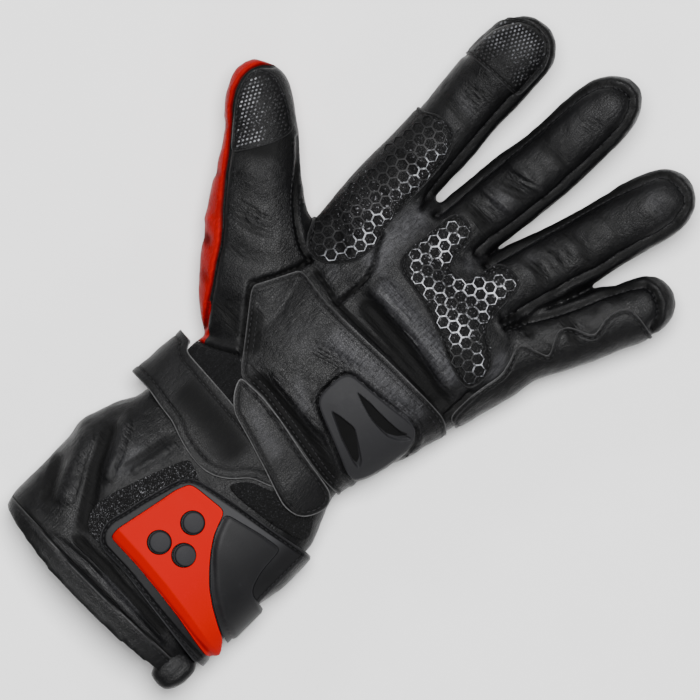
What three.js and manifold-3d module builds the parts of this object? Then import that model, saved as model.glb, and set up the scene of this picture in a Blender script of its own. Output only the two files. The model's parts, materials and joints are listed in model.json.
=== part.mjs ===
// Winter motorcycle glove for the left hand, lying on its back with the palm up.
// Millimetres, Z up. X runs from the thumb side to the little finger side, Y from the cuff to the fingertips.
import * as THREE from "three";
import { mergeVertices } from "three/addons/utils/BufferGeometryUtils.js";
import Module from "manifold-3d";

const wasm = await Module();
wasm.setup();

// Driving sizes
const SEAM_HEIGHT = 24; // height of the seam between the palm side and the back
const WALL = 3.4; // padded wall of the hand and of the cuff
const GAP = 0.3; // room between neighbouring pieces
const PANEL = 1.2; // leather panels sewn on the wall
const FINGER_ROUNDNESS = 0.92; // height of a finger over its width
const FINGER_TALLEST = 17.5; // half height at the thick base of the thumb
const FINGER_CORNER = 2.2; // 2 is an ellipse, larger is boxier
const TRUNK_CORNER = 2.5;
const FINGER_SIDES = 10;
const TRUNK_SIDES = 22;
const FINGER_CURL = 14; // how far the longest fingertip rises
const CURL_STARTS = 60;
const CURL_ENDS = 171;
const THUMB_STARTS = -50;
const THUMB_SLOPE = 0.09;
const FOURCHETTE_HALF = 6.5; // half width of the strips between the fingers

// Trunk: palm, wrist and cuff, from the cuff's mouth to the roots of the fingers
// left x, left y, right x, right y, up, down, bow of the section toward the cuff's mouth
const TRUNK = [
  [-58.5, -155, 50, -156, 26, 25, 6.5],
  [-60.3, -147, 50.5, -148.5, 26, 25, 4],
  [-60.3, -132, 47, -137, 25.5, 25, 0],
  [-60.3, -114, 46.5, -120, 25, 25, 0],
  [-61.8, -106, 46.5, -110, 24.5, 25, 0],
  [-59.5, -97, 48.5, -101, 24, 25, 0],
  [-56.5, -88, 49, -93, 22.5, 25, 0],
  [-52, -79.5, 49, -85, 21, 25, 0],
  [-50.5, -66, 48.5, -74, 20, 25, 0],
  [-51, -55, 44, -61, 19.5, 25, 0],
  [-51, -46, 40.5, -51.5, 19.5, 25, 0],
  [-49, -38, 40, -46, 20, 25, 0],
  [-47, -25, 44.5, -33, 21, 25, 0],
  [-46, -10, 49.5, -15, 22, 25, 0],
  [-47, 4, 54.7, 4, 22, 25, 0],
  [-49, 16, 58.2, 16, 20.6, 25, 0],
  [-49.5, 27, 60.8, 26, 21.8, 25, 0],
  [-50, 37, 63, 34, 20.8, 24, 0],
  [-50.5, 49, 65, 44, 19, 22, 0],
  [-50, 60, 66, 51, 16.3, 18, 0],
  [-47, 70, 62, 62, 12, 14, 0],
  [-44, 75, 50, 69, 6.5, 8, 0],
];

// Fingers: left x, left y, right x, right y of each section, from inside the palm to the tip
const FINGERS = {
  index: [
    [-50, 20, -18, 20],
    [-52.5, 66, -21, 68],
    [-53, 95, -22, 95],
    [-55, 112, -23.5, 112],
    [-56.2, 136, -24, 136],
    [-55.8, 145, -24.7, 147],
    [-54.2, 150.5, -26, 152],
    [-51, 156, -29, 156.7],
    [-46, 160, -33.5, 160.3],
    [-42, 161.4, -37, 161.6],
  ],
  middle: [
    [-18, 30, 12, 30],
    [-17.2, 76, 13.5, 76],
    [-15.3, 96, 16.5, 96],
    [-12.2, 120, 18.7, 120],
    [-9.8, 150, 19.2, 151],
    [-8.6, 157, 18.5, 158.5],
    [-6, 163, 16.2, 164.3],
    [-2.5, 167.8, 12, 169],
    [2, 170.6, 9, 171],
  ],
  ring: [
    [8, 35, 36, 29],
    [16, 78, 47.5, 71],
    [19.8, 90, 52, 83.5],
    [24.8, 106, 56, 100],
    [28, 117, 58.6, 112],
    [35, 141, 64.3, 136],
    [38, 148.5, 65.2, 144],
    [41, 153.5, 63.6, 150],
    [45, 156.7, 59.8, 154.7],
    [49, 158.2, 55.5, 157.4],
  ],
  little: [
    [30, 36, 58, 25],
    [38, 56, 65, 46],
    [48.5, 78, 75, 67],
    [53.5, 88, 79.5, 76],
    [58, 97, 83.8, 86],
    [62.5, 102, 87, 93],
    [65, 108, 89.3, 99.5],
    [67.5, 113, 90.8, 105.5],
    [70.5, 116.4, 89.6, 111.3],
    [74, 118.6, 86.2, 116],
    [78, 119.2, 82.5, 118.4],
  ],
  thumb: [
    [-42, -44, -26, 8],
    [-54, -38, -34, 18],
    [-67, -27.5, -42, 25],
    [-77, -16, -49, 29],
    [-86, -4, -55, 29.8],
    [-97.5, 13.5, -66.5, 37],
    [-101.8, 21.5, -75, 44],
    [-107.7, 29.5, -82.5, 50.7],
    [-114, 36, -90, 56.3],
    [-119.3, 43, -97, 61.3],
    [-123, 52.5, -107.5, 65.3],
    [-122.3, 57.5, -112.5, 64.8],
    [-120.6, 60.5, -116, 63],
  ],
};

// Strap at the wrist, which stands off the cuff on the thumb side
const STRAP = [
  [-61.5, -84, 50, -91, 24, 20, 0],
  [-61.2, -70, 50, -78, 22.8, 20, 0],
  [-60, -58, 46, -66, 22.2, 20, 0],
  [-59, -46, 43, -53, 22.2, 20, 0],
];

// Outlines seen from above, as rows of x and y
const OUTLINES = {
  heel_panel: [
    [-40, 10], [-22, 7.5], [0, 8], [15, 8.5], [40, 8.5], [50, 8], [54, 6], [62, -2], [60, -20], [55, -42],
    [46, -49], [30, -48.5], [10, -45], [-12, -41.5], [-26, -42], [-33, -33], [-40, -24], [-47, -15],
    [-50.5, -10], [-48, -6], [-45, 0],
  ],
  palm_slider: [
    [5, -12], [6, -9], [8, -7], [20, -6], [30, -5], [40, -3.5], [45, -4], [48, -8], [48.5, -15], [47, -25],
    [45, -33], [42, -39], [38, -39.5], [30, -36], [20, -32], [10, -28], [6, -26], [4.5, -22],
  ],
  slider_crescent: [[14, -11], [16, -9], [30, -8], [44, -8.5], [44.5, -11], [30, -12.5], [18, -13.5]],
  slider_facet: [[12, -24], [25, -22], [41, -30], [38, -34], [24, -29]],
  grip_index: [
    [-60, 97], [-50, 97], [-47, 100], [-40, 101], [-35, 100], [-31, 95], [-29, 90], [-28, 80], [-27.5, 60],
    [-27, 50], [-25, 43], [-24, 38], [-25, 30], [-28, 25], [-35, 18.5], [-40, 17.5], [-45, 18], [-49, 22],
    [-52, 29], [-60, 36],
  ],
  grip_palm: [
    [-11, 72], [-10, 75], [-8, 76.5], [-2, 76.5], [3, 74], [4, 70], [4, 60], [5, 57.5], [8, 56.5], [14, 57],
    [17, 62], [17, 68], [19, 73], [22, 75], [30, 75], [33, 73], [33.5, 70], [34, 60], [34, 55], [36, 49],
    [42, 45.5], [47, 42], [50, 38], [51, 32], [50, 25.5], [48, 24], [44, 24], [38, 25.5], [30, 28.5],
    [25, 31], [15, 35], [8, 37], [0, 38.5], [-8, 39.5], [-11, 41], [-13, 44], [-13.5, 50], [-12, 60],
    [-11.5, 68],
  ],
  side_panel: [
    [62, 7], [58, 8.5], [52, 9.3], [51.5, 14], [51.8, 24], [53, 32], [54.5, 38], [54, 42], [50, 55],
    [64, 59.5], [58, 70], [60, 75], [71.5, 80], [69, 90], [71, 97], [74, 100], [82, 99.5], [95, 97],
    [95, 70], [75, 20],
  ],
  touch_index: [[-60, 128], [-26, 130], [-26.5, 147], [-29, 153], [-34, 158], [-45, 158.5], [-51, 155], [-60, 147]],
  touch_thumb: [
    [-98, 24], [-92, 33], [-88, 40], [-86, 46], [-85.5, 51], [-96, 58], [-107, 62.5], [-114, 61], [-117, 57],
    [-117, 51], [-113, 42], [-105, 32],
  ],
  thumb: [
    [-40.6, 15], [-41.5, 10], [-45.6, 0], [-49, -5.5], [-51.2, -10], [-47.6, -15.4], [-40.6, -24.4],
    [-33.6, -33.4], [-31.5, -36], [-33, -36], [-40, -40], [-46, -43], [-52, -45], [-80, -45], [-140, -10],
    [-140, 60], [-125, 90], [-100, 90], [-80, 62], [-53, 32], [-50.5, 20],
  ],
  thumb_web: [
    [-40, 15], [-46, 16.5], [-50, 18.5], [-55, 22], [-60, 26], [-65, 31], [-70, 37], [-75, 43], [-82, 50],
    [-86, 56], [-80, 65], [-50, 45], [-38, 20],
  ],
  wrist_gusset: [
    [-31, -36.3], [-33, -36.3], [-40, -40.3], [-46, -43.3], [-52, -45.3], [-70, -46], [-70, -54], [-12, -59],
    [-14, -42], [-26, -42.2],
  ],
  wrist_tab: [
    [-26, -42], [-12, -41.5], [0, -43], [10, -45], [20, -47], [30, -48.5], [38, -50], [40.5, -52], [42, -56],
    [41, -60], [38.5, -65], [35, -68], [28, -69], [20, -66.5], [10, -63], [-3, -59], [-17, -55], [-23, -49],
  ],
  wrist_strap: [
    [-70, -46], [-52, -46], [-51, -51], [-25, -52.5], [-10, -54], [20, -56], [20, -66], [9, -70], [3, -77],
    [-3, -81], [-9, -82.5], [-17, -82], [-25, -80], [-33, -77], [-42, -76], [-50, -74.5], [-70, -74.5],
  ],
  wrist_loop_pad: [
    [24, -60], [22, -67], [10, -71.5], [6, -76], [4, -80], [12, -80.3], [30, -78], [44, -74.5], [46, -71], [40, -62],
  ],
  cuff_loop_pad: [
    [-14, -83.5], [-16, -83], [-20, -92], [-25, -105], [-29, -117], [-31, -126], [-29, -133], [-25, -137],
    [-12, -137], [-10, -115], [-4, -88],
  ],
  flap_frame: [
    [50, -76], [30, -80], [15, -82.5], [5, -84.5], [-3, -86], [-9, -88], [-13, -93], [-15, -100],
    [-18, -110], [-20, -120], [-22, -127], [-21, -133], [-17, -137.5], [0, -138], [15, -140], [30, -142],
    [50, -145],
  ],
  flap: [
    [70, -76], [50, -76.5], [30, -80.7], [15, -83.2], [5, -85.2], [-3, -86.7], [-8.5, -88.6],
    [-12.3, -93.4], [-14.3, -100], [-17.3, -110], [-19.3, -120], [-21.2, -127], [-20.2, -132.8],
    [-16.6, -136.8], [0, -137.3], [15, -139.3], [30, -141.3], [50, -144.3], [70, -142],
  ],
  flap_inlay: [
    [-8, -91], [-5, -90], [5, -89], [10, -88.5], [11.5, -89.5], [13, -94], [15, -99], [19, -105], [24, -111],
    [30, -117], [37, -122], [44, -126], [50, -129], [54.5, -135], [51, -139.5], [45, -138.5], [30, -135.5],
    [15, -133.5], [0, -132], [-16, -131.5], [-16.5, -127], [-14, -115], [-12, -105], [-10.5, -97],
  ],
  flap_shell: [
    [12.4, -89], [20, -87], [30, -84.5], [40, -83], [40.5, -90], [41, -96], [43, -103], [45, -106], [60, -109],
    [60, -131], [50.4, -128.4], [44.4, -125.4], [37.4, -121.4], [30.4, -116.4], [24.5, -110.5], [19.5, -104.6],
    [15.5, -98.7], [13.5, -93.8],
  ],
};

// Studs on the inlay: x and y
const STUDS = [[4.8, -101.8], [12, -114.5], [0.5, -118]];
const STUD_RADIUS = 4.8;

// Strips between two fingers: the boundary on the axis of each finger, from above
const FOURCHETTES = {
  fourchette_index_middle: [[-37, 50], [-38, 90], [-40, 128], [-40, 152], [5, 158], [3, 120], [-2, 50]],
  fourchette_middle_ring: [[-2, 50], [3, 120], [5, 158], [52, 150], [44, 120], [34, 84], [26, 50]],
  fourchette_ring_little: [[27, 50], [34, 84], [44, 120], [52, 150], [66, 145], [77, 112], [66, 80], [53, 50]],
};

// Each finger's own ground from above, from the line where it leaves the palm
const FINGER_GROUND = {
  index: [[-80, 73], [-19.5, 73], [-18, 110], [-16, 190], [-80, 190]],
  middle: [[-19.5, 73], [14.2, 73], [15.2, 78], [19, 96], [26, 130], [28, 190], [-16, 190], [-18, 110]],
  ring: [[14.2, 73], [44, 64.5], [48, 75], [53, 86], [57.5, 96], [67, 125], [75, 190], [28, 190], [26, 130],
    [19, 96], [15.2, 78]],
  little: [[44, 64.5], [100, 50], [120, 190], [75, 190], [67, 125], [57.5, 96], [53, 86], [48, 75]],
};

// Layers above the wall, as the distance of the underside and of the top
const LAYERS = {
  panel: [GAP, GAP + PANEL],
  thin: [GAP, 1.1],
  slider: [1.9, 4.6],
  strap_pad: [GAP, 1.7],
  tab: [2.9, 5.2],
  flap: [2, 4],
  frame: [4.3, 7],
  shell: [4.3, 7.8],
  inlay: [4.3, 8.6],
  stud: [8.9, 10.6],
};

// Colours
const LOOK = {
  leather: { color: 0x17171a, roughness: 0.62 },
  red: { color: 0xa3161c, roughness: 0.5 },
  grip: { color: 0x3c3d42, roughness: 0.45 },
  touch: { color: 0x24252a, roughness: 0.7 },
  moulding: { color: 0x3a3b40, roughness: 0.45 },
  shell: { color: 0x55565c, roughness: 0.4 },
  slider: { color: 0x1d1d20, roughness: 0.35 },
  fabric: { color: 0x121214, roughness: 0.95 },
};

// Solids from triangle meshes
function solidOf(geometry) {
  const bare = geometry.clone();
  bare.deleteAttribute("normal");
  bare.deleteAttribute("uv");
  const welded = mergeVertices(bare, 1e-4);
  const mesh = new wasm.Mesh({
    numProp: 3,
    vertProperties: new Float32Array(welded.attributes.position.array),
    triVerts: new Uint32Array(welded.index.array),
  });
  return new wasm.Manifold(mesh);
}

// Height that the curl of the fingers and the lift of the thumb add at a place
function riseOf(x, y) {
  const along = Math.max(0, (y - CURL_STARTS) / (CURL_ENDS - CURL_STARTS));
  const thumb = y < 70 ? Math.max(0, THUMB_STARTS - x) * THUMB_SLOPE : 0;
  return FINGER_CURL * Math.pow(along, 1.5) + thumb;
}

// A section has its two silhouette points, a height up and down, and a bow
function sectionOf([leftX, leftY, rightX, rightY, up, down, bow = 0]) {
  const left = new THREE.Vector2(leftX, leftY);
  const right = new THREE.Vector2(rightX, rightY);
  const half = left.distanceTo(right) / 2;
  const round = Math.min(FINGER_ROUNDNESS * half, FINGER_TALLEST);
  return {
    centre: left.clone().add(right).multiplyScalar(0.5),
    across: right.clone().sub(left).normalize(),
    half,
    up: up ?? round,
    down: down ?? round,
    bow,
  };
}

// Moves a whole limb's surface out by a distance, or in where it is below zero
function grownSections(rows, distance) {
  const sections = rows.map(sectionOf);
  return sections.map((section, i) => {
    const before = sections[Math.max(0, i - 1)];
    const after = sections[Math.min(sections.length - 1, i + 1)];
    const along = after.centre.clone().sub(before.centre);
    const length = along.length();
    const narrowing = (before.half - after.half) / length;
    const lean = 1 / Math.hypot(1, narrowing);
    const shift = i === 0 ? 0 : distance * narrowing * lean;
    return {
      ...section,
      centre: section.centre.clone().addScaledVector(along.normalize(), shift),
      half: Math.max(0.6, section.half + distance * lean),
      up: Math.max(0.6, section.up + distance * lean),
      down: Math.max(0.6, section.down + distance * lean),
    };
  });
}

// The closed ring of a section
function ringOf(section, sides, corner, floor) {
  const power = 2 / corner;
  const centreHeight = SEAM_HEIGHT + riseOf(section.centre.x, section.centre.y);
  const mouthward = new THREE.Vector2(section.across.y, -section.across.x);
  const ring = [];
  for (let k = 0; k < sides; k += 1) {
    const angle = (2 * Math.PI * k) / sides;
    const c = Math.cos(angle);
    const s = Math.sin(angle);
    const wide = section.half * Math.sign(c) * Math.pow(Math.abs(c), power);
    const tall = (s > 0 ? section.up : section.down) * Math.sign(s) * Math.pow(Math.abs(s), power);
    const bowed = section.bow * s * s;
    const x = section.centre.x + section.across.x * wide + mouthward.x * bowed;
    const y = section.centre.y + section.across.y * wide + mouthward.y * bowed;
    ring.push([x, y, Math.max(floor, centreHeight + tall)]);
  }
  return ring;
}

// Skins a row of rings and closes both ends
function loftOf(rings) {
  const sides = rings[0].length;
  const positions = rings.flat(2);
  const faces = [];
  for (let i = 0; i + 1 < rings.length; i += 1) {
    for (let k = 0; k < sides; k += 1) {
      const next = (k + 1) % sides;
      const a = i * sides + k;
      const b = i * sides + next;
      faces.push(a, b + sides, b);
      faces.push(a, a + sides, b + sides);
    }
  }
  const ends = [[0, 1], [rings.length - 1, -1]];
  for (const [row, turn] of ends) {
    const middle = [0, 1, 2].map((axis) => rings[row].reduce((sum, p) => sum + p[axis], 0) / sides);
    const hub = positions.length / 3;
    positions.push(...middle);
    for (let k = 0; k < sides; k += 1) {
      const a = row * sides + k;
      const b = row * sides + ((k + 1) % sides);
      faces.push(...(turn > 0 ? [hub, a, b] : [hub, b, a]));
    }
  }
  const geometry = new THREE.BufferGeometry();
  geometry.setAttribute("position", new THREE.Float32BufferAttribute(positions, 3));
  geometry.setIndex(faces);
  return solidOf(geometry);
}

// A limb with its surface moved by a distance
function limb(rows, distance, sides, corner, mouth = 0) {
  const sections = grownSections(rows, distance);
  if (mouth > 0) {
    const first = sections[0];
    const away = first.centre.clone().sub(sections[1].centre).normalize();
    sections.unshift({ ...first, centre: first.centre.clone().addScaledVector(away, mouth) });
  }
  return loftOf(sections.map((section) => ringOf(section, sides, corner, -distance)));
}

function trunk(distance) {
  return limb(TRUNK, distance, TRUNK_SIDES, TRUNK_CORNER);
}

function finger(name, distance) {
  return limb(FINGERS[name], distance, FINGER_SIDES, FINGER_CORNER);
}

const handCache = new Map();

function hand(distance) {
  if (!handCache.has(distance)) {
    let whole = trunk(distance);
    for (const name of Object.keys(FINGERS)) {
      whole = whole.add(finger(name, distance));
    }
    handCache.set(distance, whole);
  }
  return handCache.get(distance);
}

// The room inside, from every other section, which also reaches out through the mouth
const PAST_MOUTH = 14;
const everyOther = (rows) => rows.filter((_, i) => i % 2 === 0 || i === rows.length - 1);

function hollow() {
  let whole = limb(everyOther(TRUNK), -WALL, 16, TRUNK_CORNER, PAST_MOUTH);
  for (const rows of Object.values(FINGERS)) {
    whole = whole.add(limb(everyOther(rows), -WALL, 8, FINGER_CORNER));
  }
  return whole;
}

// Cutting shapes
const LOW = -20;
const HIGH = 120;

// Moves each corner of an outline out by a distance, or in where it is below zero
function grownOutline(points, distance) {
  const count = points.length;
  const area = points.reduce((sum, [x, y], i) => {
    const [nx, ny] = points[(i + 1) % count];
    return sum + x * ny - nx * y;
  }, 0);
  const side = area > 0 ? 1 : -1;
  return points.map(([x, y], i) => {
    const [bx, by] = points[(i + count - 1) % count];
    const [ax, ay] = points[(i + 1) % count];
    const before = new THREE.Vector2(y - by, bx - x).normalize();
    const after = new THREE.Vector2(ay - y, x - ax).normalize();
    const both = before.add(after).normalize();
    const stretch = 1 / Math.max(0.6, both.dot(after));
    return [x + both.x * side * distance * stretch, y + both.y * side * distance * stretch];
  });
}

function prism(points, low = LOW, high = HIGH) {
  const shape = new THREE.Shape(points.map(([x, y]) => new THREE.Vector2(x, y)));
  const geometry = new THREE.ExtrudeGeometry(shape, { depth: high - low, bevelEnabled: false });
  geometry.translate(0, 0, low);
  return solidOf(geometry);
}

// Everything above a height that follows the curl of the fingers
function aboveSeam(offset) {
  const places = [-200, CURL_STARTS, 95, 130, 200];
  const profile = places.map((y) => new THREE.Vector2(y, SEAM_HEIGHT + riseOf(0, y) + offset));
  profile.push(new THREE.Vector2(200, HIGH));
  profile.push(new THREE.Vector2(-200, HIGH));
  const geometry = new THREE.ExtrudeGeometry(new THREE.Shape(profile), { depth: 300, bevelEnabled: false });
  geometry.rotateX(Math.PI / 2);
  geometry.rotateZ(Math.PI / 2);
  geometry.translate(-150, 0, 0);
  return solidOf(geometry);
}

// Everything under the sloping seam of the thumb
const THUMB_ACROSS = new THREE.Vector3(0.75, 0.66, 0);
const THUMB_CENTRE = -44;
const THUMB_SEAM_TILT = 0.36;
const THUMB_SEAM_OFFSET = 1.4;

function underThumbSeam(offset) {
  const normal = new THREE.Vector3(THUMB_SLOPE, 0, 1).addScaledVector(THUMB_ACROSS, THUMB_SEAM_TILT);
  const height = SEAM_HEIGHT + THUMB_SEAM_OFFSET + offset + THUMB_SEAM_TILT * THUMB_CENTRE
    + THUMB_SLOPE * THUMB_STARTS;
  const geometry = new THREE.BoxGeometry(500, 500, 200);
  geometry.translate(0, 0, -100);
  const turn = new THREE.Quaternion().setFromUnitVectors(new THREE.Vector3(0, 0, 1), normal.clone().normalize());
  geometry.applyQuaternion(turn);
  geometry.translate(0, 0, height);
  return solidOf(geometry);
}

// Everything on the mouth side of a line across the cuff
function mouthSide(leftY, rightY) {
  return prism([[-120, leftY], [120, rightY], [120, -260], [-120, -260]]);
}

// Pieces
const group = new THREE.Group();
group.name = "winter_motorcycle_glove";

// The largest body of a solid, so that no crumb is left beside it
function mainBody(positions, faces) {
  const parent = positions.map((_, i) => i);
  const find = (i) => {
    let at = i;
    while (parent[at] !== at) {
      parent[at] = parent[parent[at]];
      at = parent[at];
    }
    return at;
  };
  for (let f = 0; f < faces.length; f += 3) {
    const a = find(faces[f]);
    parent[find(faces[f + 1])] = a;
    parent[find(faces[f + 2])] = a;
  }
  const sizes = new Map();
  for (let f = 0; f < faces.length; f += 3) {
    const a = find(faces[f]);
    const [p, q, r] = [faces[f], faces[f + 1], faces[f + 2]].map((i) => new THREE.Vector3(...positions[i]));
    sizes.set(a, (sizes.get(a) ?? 0) + p.dot(q.cross(r)));
  }
  const largest = [...sizes.entries()].sort((one, two) => two[1] - one[1])[0][0];
  const kept = [];
  for (let f = 0; f < faces.length; f += 3) {
    if (find(faces[f]) === largest) {
      kept.push(faces[f], faces[f + 1], faces[f + 2]);
    }
  }
  return kept;
}

function addPiece(name, solid, look) {
  const mesh = solid.getMesh();
  const flat = mesh.vertProperties;
  const stride = mesh.numProp;
  const positions = [];
  for (let i = 0; i < flat.length; i += stride) {
    positions.push([flat[i], flat[i + 1], flat[i + 2]]);
  }
  const geometry = new THREE.BufferGeometry();
  geometry.setAttribute("position", new THREE.Float32BufferAttribute(positions.flat(), 3));
  geometry.setIndex(mainBody(positions, [...mesh.triVerts]));
  geometry.computeVertexNormals();
  const material = new THREE.MeshStandardMaterial({ ...LOOK[look], metalness: 0 });
  const piece = new THREE.Mesh(geometry, material);
  piece.name = name;
  group.add(piece);
}

// Padded wall of the hand and of the cuff, open at the mouth
const wall = hand(0).subtract(hollow());

const WRIST_LINE = [-47, -54];
const HEM_LINE = [-150.4, -151];
const handWall = wall.subtract(mouthSide(WRIST_LINE[0] + GAP / 2, WRIST_LINE[1] + GAP / 2));
const cuffWall = wall.intersect(mouthSide(WRIST_LINE[0] - GAP / 2, WRIST_LINE[1] - GAP / 2));
const gussetZone = prism(OUTLINES.wrist_gusset, SEAM_HEIGHT - 8);
const gussetZoneGrown = prism(grownOutline(OUTLINES.wrist_gusset, GAP), SEAM_HEIGHT - 8 - GAP);
const thumbZone = prism(OUTLINES.thumb);
const thumbZoneGrown = prism(grownOutline(OUTLINES.thumb, GAP));

// Strips between the fingers
let stripZones = null;
const handWithoutThumb = handWall.subtract(thumbZoneGrown).subtract(gussetZoneGrown);
const stripBand = aboveSeam(-FOURCHETTE_HALF).subtract(aboveSeam(FOURCHETTE_HALF));
const stripBandGrown = aboveSeam(-FOURCHETTE_HALF - GAP).subtract(aboveSeam(FOURCHETTE_HALF + GAP));
for (const [name, outline] of Object.entries(FOURCHETTES)) {
  const strip = handWithoutThumb.intersect(prism(grownOutline(outline, -GAP / 2)).intersect(stripBand));
  addPiece(name, strip, "leather");
  const zone = prism(outline).intersect(stripBandGrown);
  stripZones = stripZones ? stripZones.add(zone) : zone;
}

// Palm and back of the hand, and the front and back of each finger
let handSides = handWithoutThumb.subtract(stripZones);
for (const [name, ground] of Object.entries(FINGER_GROUND)) {
  const fingerSides = handSides.intersect(prism(grownOutline(ground, -GAP / 2)));
  addPiece(`${name}_front`, fingerSides.intersect(aboveSeam(GAP / 2)), "leather");
  addPiece(`${name}_back`, fingerSides.subtract(aboveSeam(-GAP / 2)), "leather");
}
for (const ground of Object.values(FINGER_GROUND)) {
  handSides = handSides.subtract(prism(grownOutline(ground, GAP / 2)));
}
addPiece("palm_shell", handSides.intersect(aboveSeam(GAP / 2)), "leather");
addPiece("back_shell", handSides.subtract(aboveSeam(-GAP / 2)), "leather");

// Thumb
const thumbWall = handWall.intersect(thumbZone).subtract(gussetZoneGrown);
const thumbTop = thumbWall.subtract(underThumbSeam(GAP / 2));
const webZone = prism(OUTLINES.thumb_web);
const webZoneGrown = prism(grownOutline(OUTLINES.thumb_web, GAP));
addPiece("thumb_front", thumbTop.subtract(webZoneGrown), "leather");
addPiece("thumb_web", thumbTop.intersect(webZone), "leather");
addPiece("thumb_back", thumbWall.intersect(underThumbSeam(-GAP / 2)), "red");

// Cuff
addPiece("wrist_gusset", wall.intersect(gussetZone), "fabric");
const cuffBody = cuffWall.subtract(mouthSide(HEM_LINE[0] + GAP / 2, HEM_LINE[1] + GAP / 2));
addPiece("cuff_shell", cuffBody.subtract(gussetZoneGrown), "leather");
addPiece("cuff_hem", cuffWall.intersect(mouthSide(HEM_LINE[0] - GAP / 2, HEM_LINE[1] - GAP / 2)), "leather");

// A layer that follows the surface within an outline seen from above
function layer(outline, [under, top], base = hand) {
  const sheet = base(top).subtract(base(under));
  return sheet.intersect(prism(outline, SEAM_HEIGHT + 1));
}

addPiece("heel_panel", layer(OUTLINES.heel_panel, LAYERS.panel), "leather");
addPiece("grip_index", layer(OUTLINES.grip_index, LAYERS.panel), "grip");
addPiece("grip_palm", layer(OUTLINES.grip_palm, LAYERS.panel), "grip");
addPiece("side_panel", layer(OUTLINES.side_panel, LAYERS.panel), "leather");
addPiece("touch_index", layer(OUTLINES.touch_index, LAYERS.thin), "touch");
const touchThumb = layer(OUTLINES.touch_thumb, LAYERS.thin).subtract(underThumbSeam(GAP));
addPiece("touch_thumb", touchThumb, "touch");

// Bunched fold at the corner of the cuff, under the end of the flap: centre and half sizes
const FOLD_CENTRE = [43.5, -153.5, 36];
const FOLD_HALF = [7.4, 8.8, 6];
const fold = new THREE.IcosahedronGeometry(1, 2);
fold.scale(...FOLD_HALF);
fold.translate(...FOLD_CENTRE);
const cuffGround = limb(TRUNK, GAP, TRUNK_SIDES, TRUNK_CORNER, 6);
const frameGround = trunk(LAYERS.frame[1] + GAP).intersect(prism(grownOutline(OUTLINES.flap_frame, 1.2)));
addPiece("cuff_fold", solidOf(fold).subtract(cuffGround).subtract(frameGround), "leather");

// Slider on the heel, with its two recesses
const SLIDER_RECESS = 1.1;
const recesses = prism(OUTLINES.slider_crescent).add(prism(OUTLINES.slider_facet));
const recessDepth = hand(LAYERS.slider[1] - SLIDER_RECESS);
const slider = layer(OUTLINES.palm_slider, LAYERS.slider);
addPiece("palm_slider", slider.subtract(recesses.subtract(recessDepth)), "slider");

// Wrist closure
const STRAP_THICKNESS = 2;
const strapLoop = limb(STRAP, 0, TRUNK_SIDES, TRUNK_CORNER)
  .subtract(limb(STRAP, -STRAP_THICKNESS, TRUNK_SIDES, TRUNK_CORNER, 5))
  .subtract(hand(GAP));
addPiece("wrist_strap", strapLoop.intersect(prism(OUTLINES.wrist_strap, SEAM_HEIGHT - 6)), "leather");
const strapKeepOut = limb(STRAP, GAP, TRUNK_SIDES, TRUNK_CORNER, 5);
const padUnder = layer(OUTLINES.wrist_loop_pad, LAYERS.strap_pad, trunk);
addPiece("wrist_loop_pad", padUnder, "fabric");
const tab = layer(OUTLINES.wrist_tab, LAYERS.tab, trunk).subtract(strapKeepOut);
addPiece("wrist_tab", tab, "leather");

// Closure flap of the cuff
const FLAP_WRAP = 14;
addPiece("cuff_loop_pad", layer(OUTLINES.cuff_loop_pad, LAYERS.strap_pad, trunk), "fabric");
const flapSheet = trunk(LAYERS.flap[1]).subtract(trunk(LAYERS.flap[0]));
addPiece("flap", flapSheet.intersect(prism(OUTLINES.flap, SEAM_HEIGHT - FLAP_WRAP)), "leather");
const plates = prism(grownOutline(OUTLINES.flap_inlay, GAP)).add(prism(grownOutline(OUTLINES.flap_shell, GAP)));
addPiece("flap_frame", layer(OUTLINES.flap_frame, LAYERS.frame, trunk).subtract(plates), "moulding");
const inlayGrown = prism(grownOutline(OUTLINES.flap_inlay, GAP));
addPiece("flap_shell", layer(OUTLINES.flap_shell, LAYERS.shell, trunk).subtract(inlayGrown), "shell");
addPiece("flap_inlay", layer(OUTLINES.flap_inlay, LAYERS.inlay, trunk), "red");
STUDS.forEach(([x, y], i) => {
  const circle = new THREE.CylinderGeometry(STUD_RADIUS, STUD_RADIUS, 100, 16);
  circle.rotateX(Math.PI / 2);
  circle.translate(x, y, 60);
  const sheet = trunk(LAYERS.stud[1]).subtract(trunk(LAYERS.stud[0]));
  addPiece(`stud_${i + 1}`, sheet.intersect(solidOf(circle)), "moulding");
});

export default group;
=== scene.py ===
# %% [markdown]
# # A winter motorcycle glove for the left hand
# The glove lies on its back with the palm up, and the camera looks straight down on it. Black goatskin makes
# the hand, a red strip runs round the back of the thumb, hexagon grips cover the palm and the index finger, and
# a moulded closure flap with a red plate and a grey plate holds the cuff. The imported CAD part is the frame: it
# gives the place, the size and the body that each piece rides on.

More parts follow.
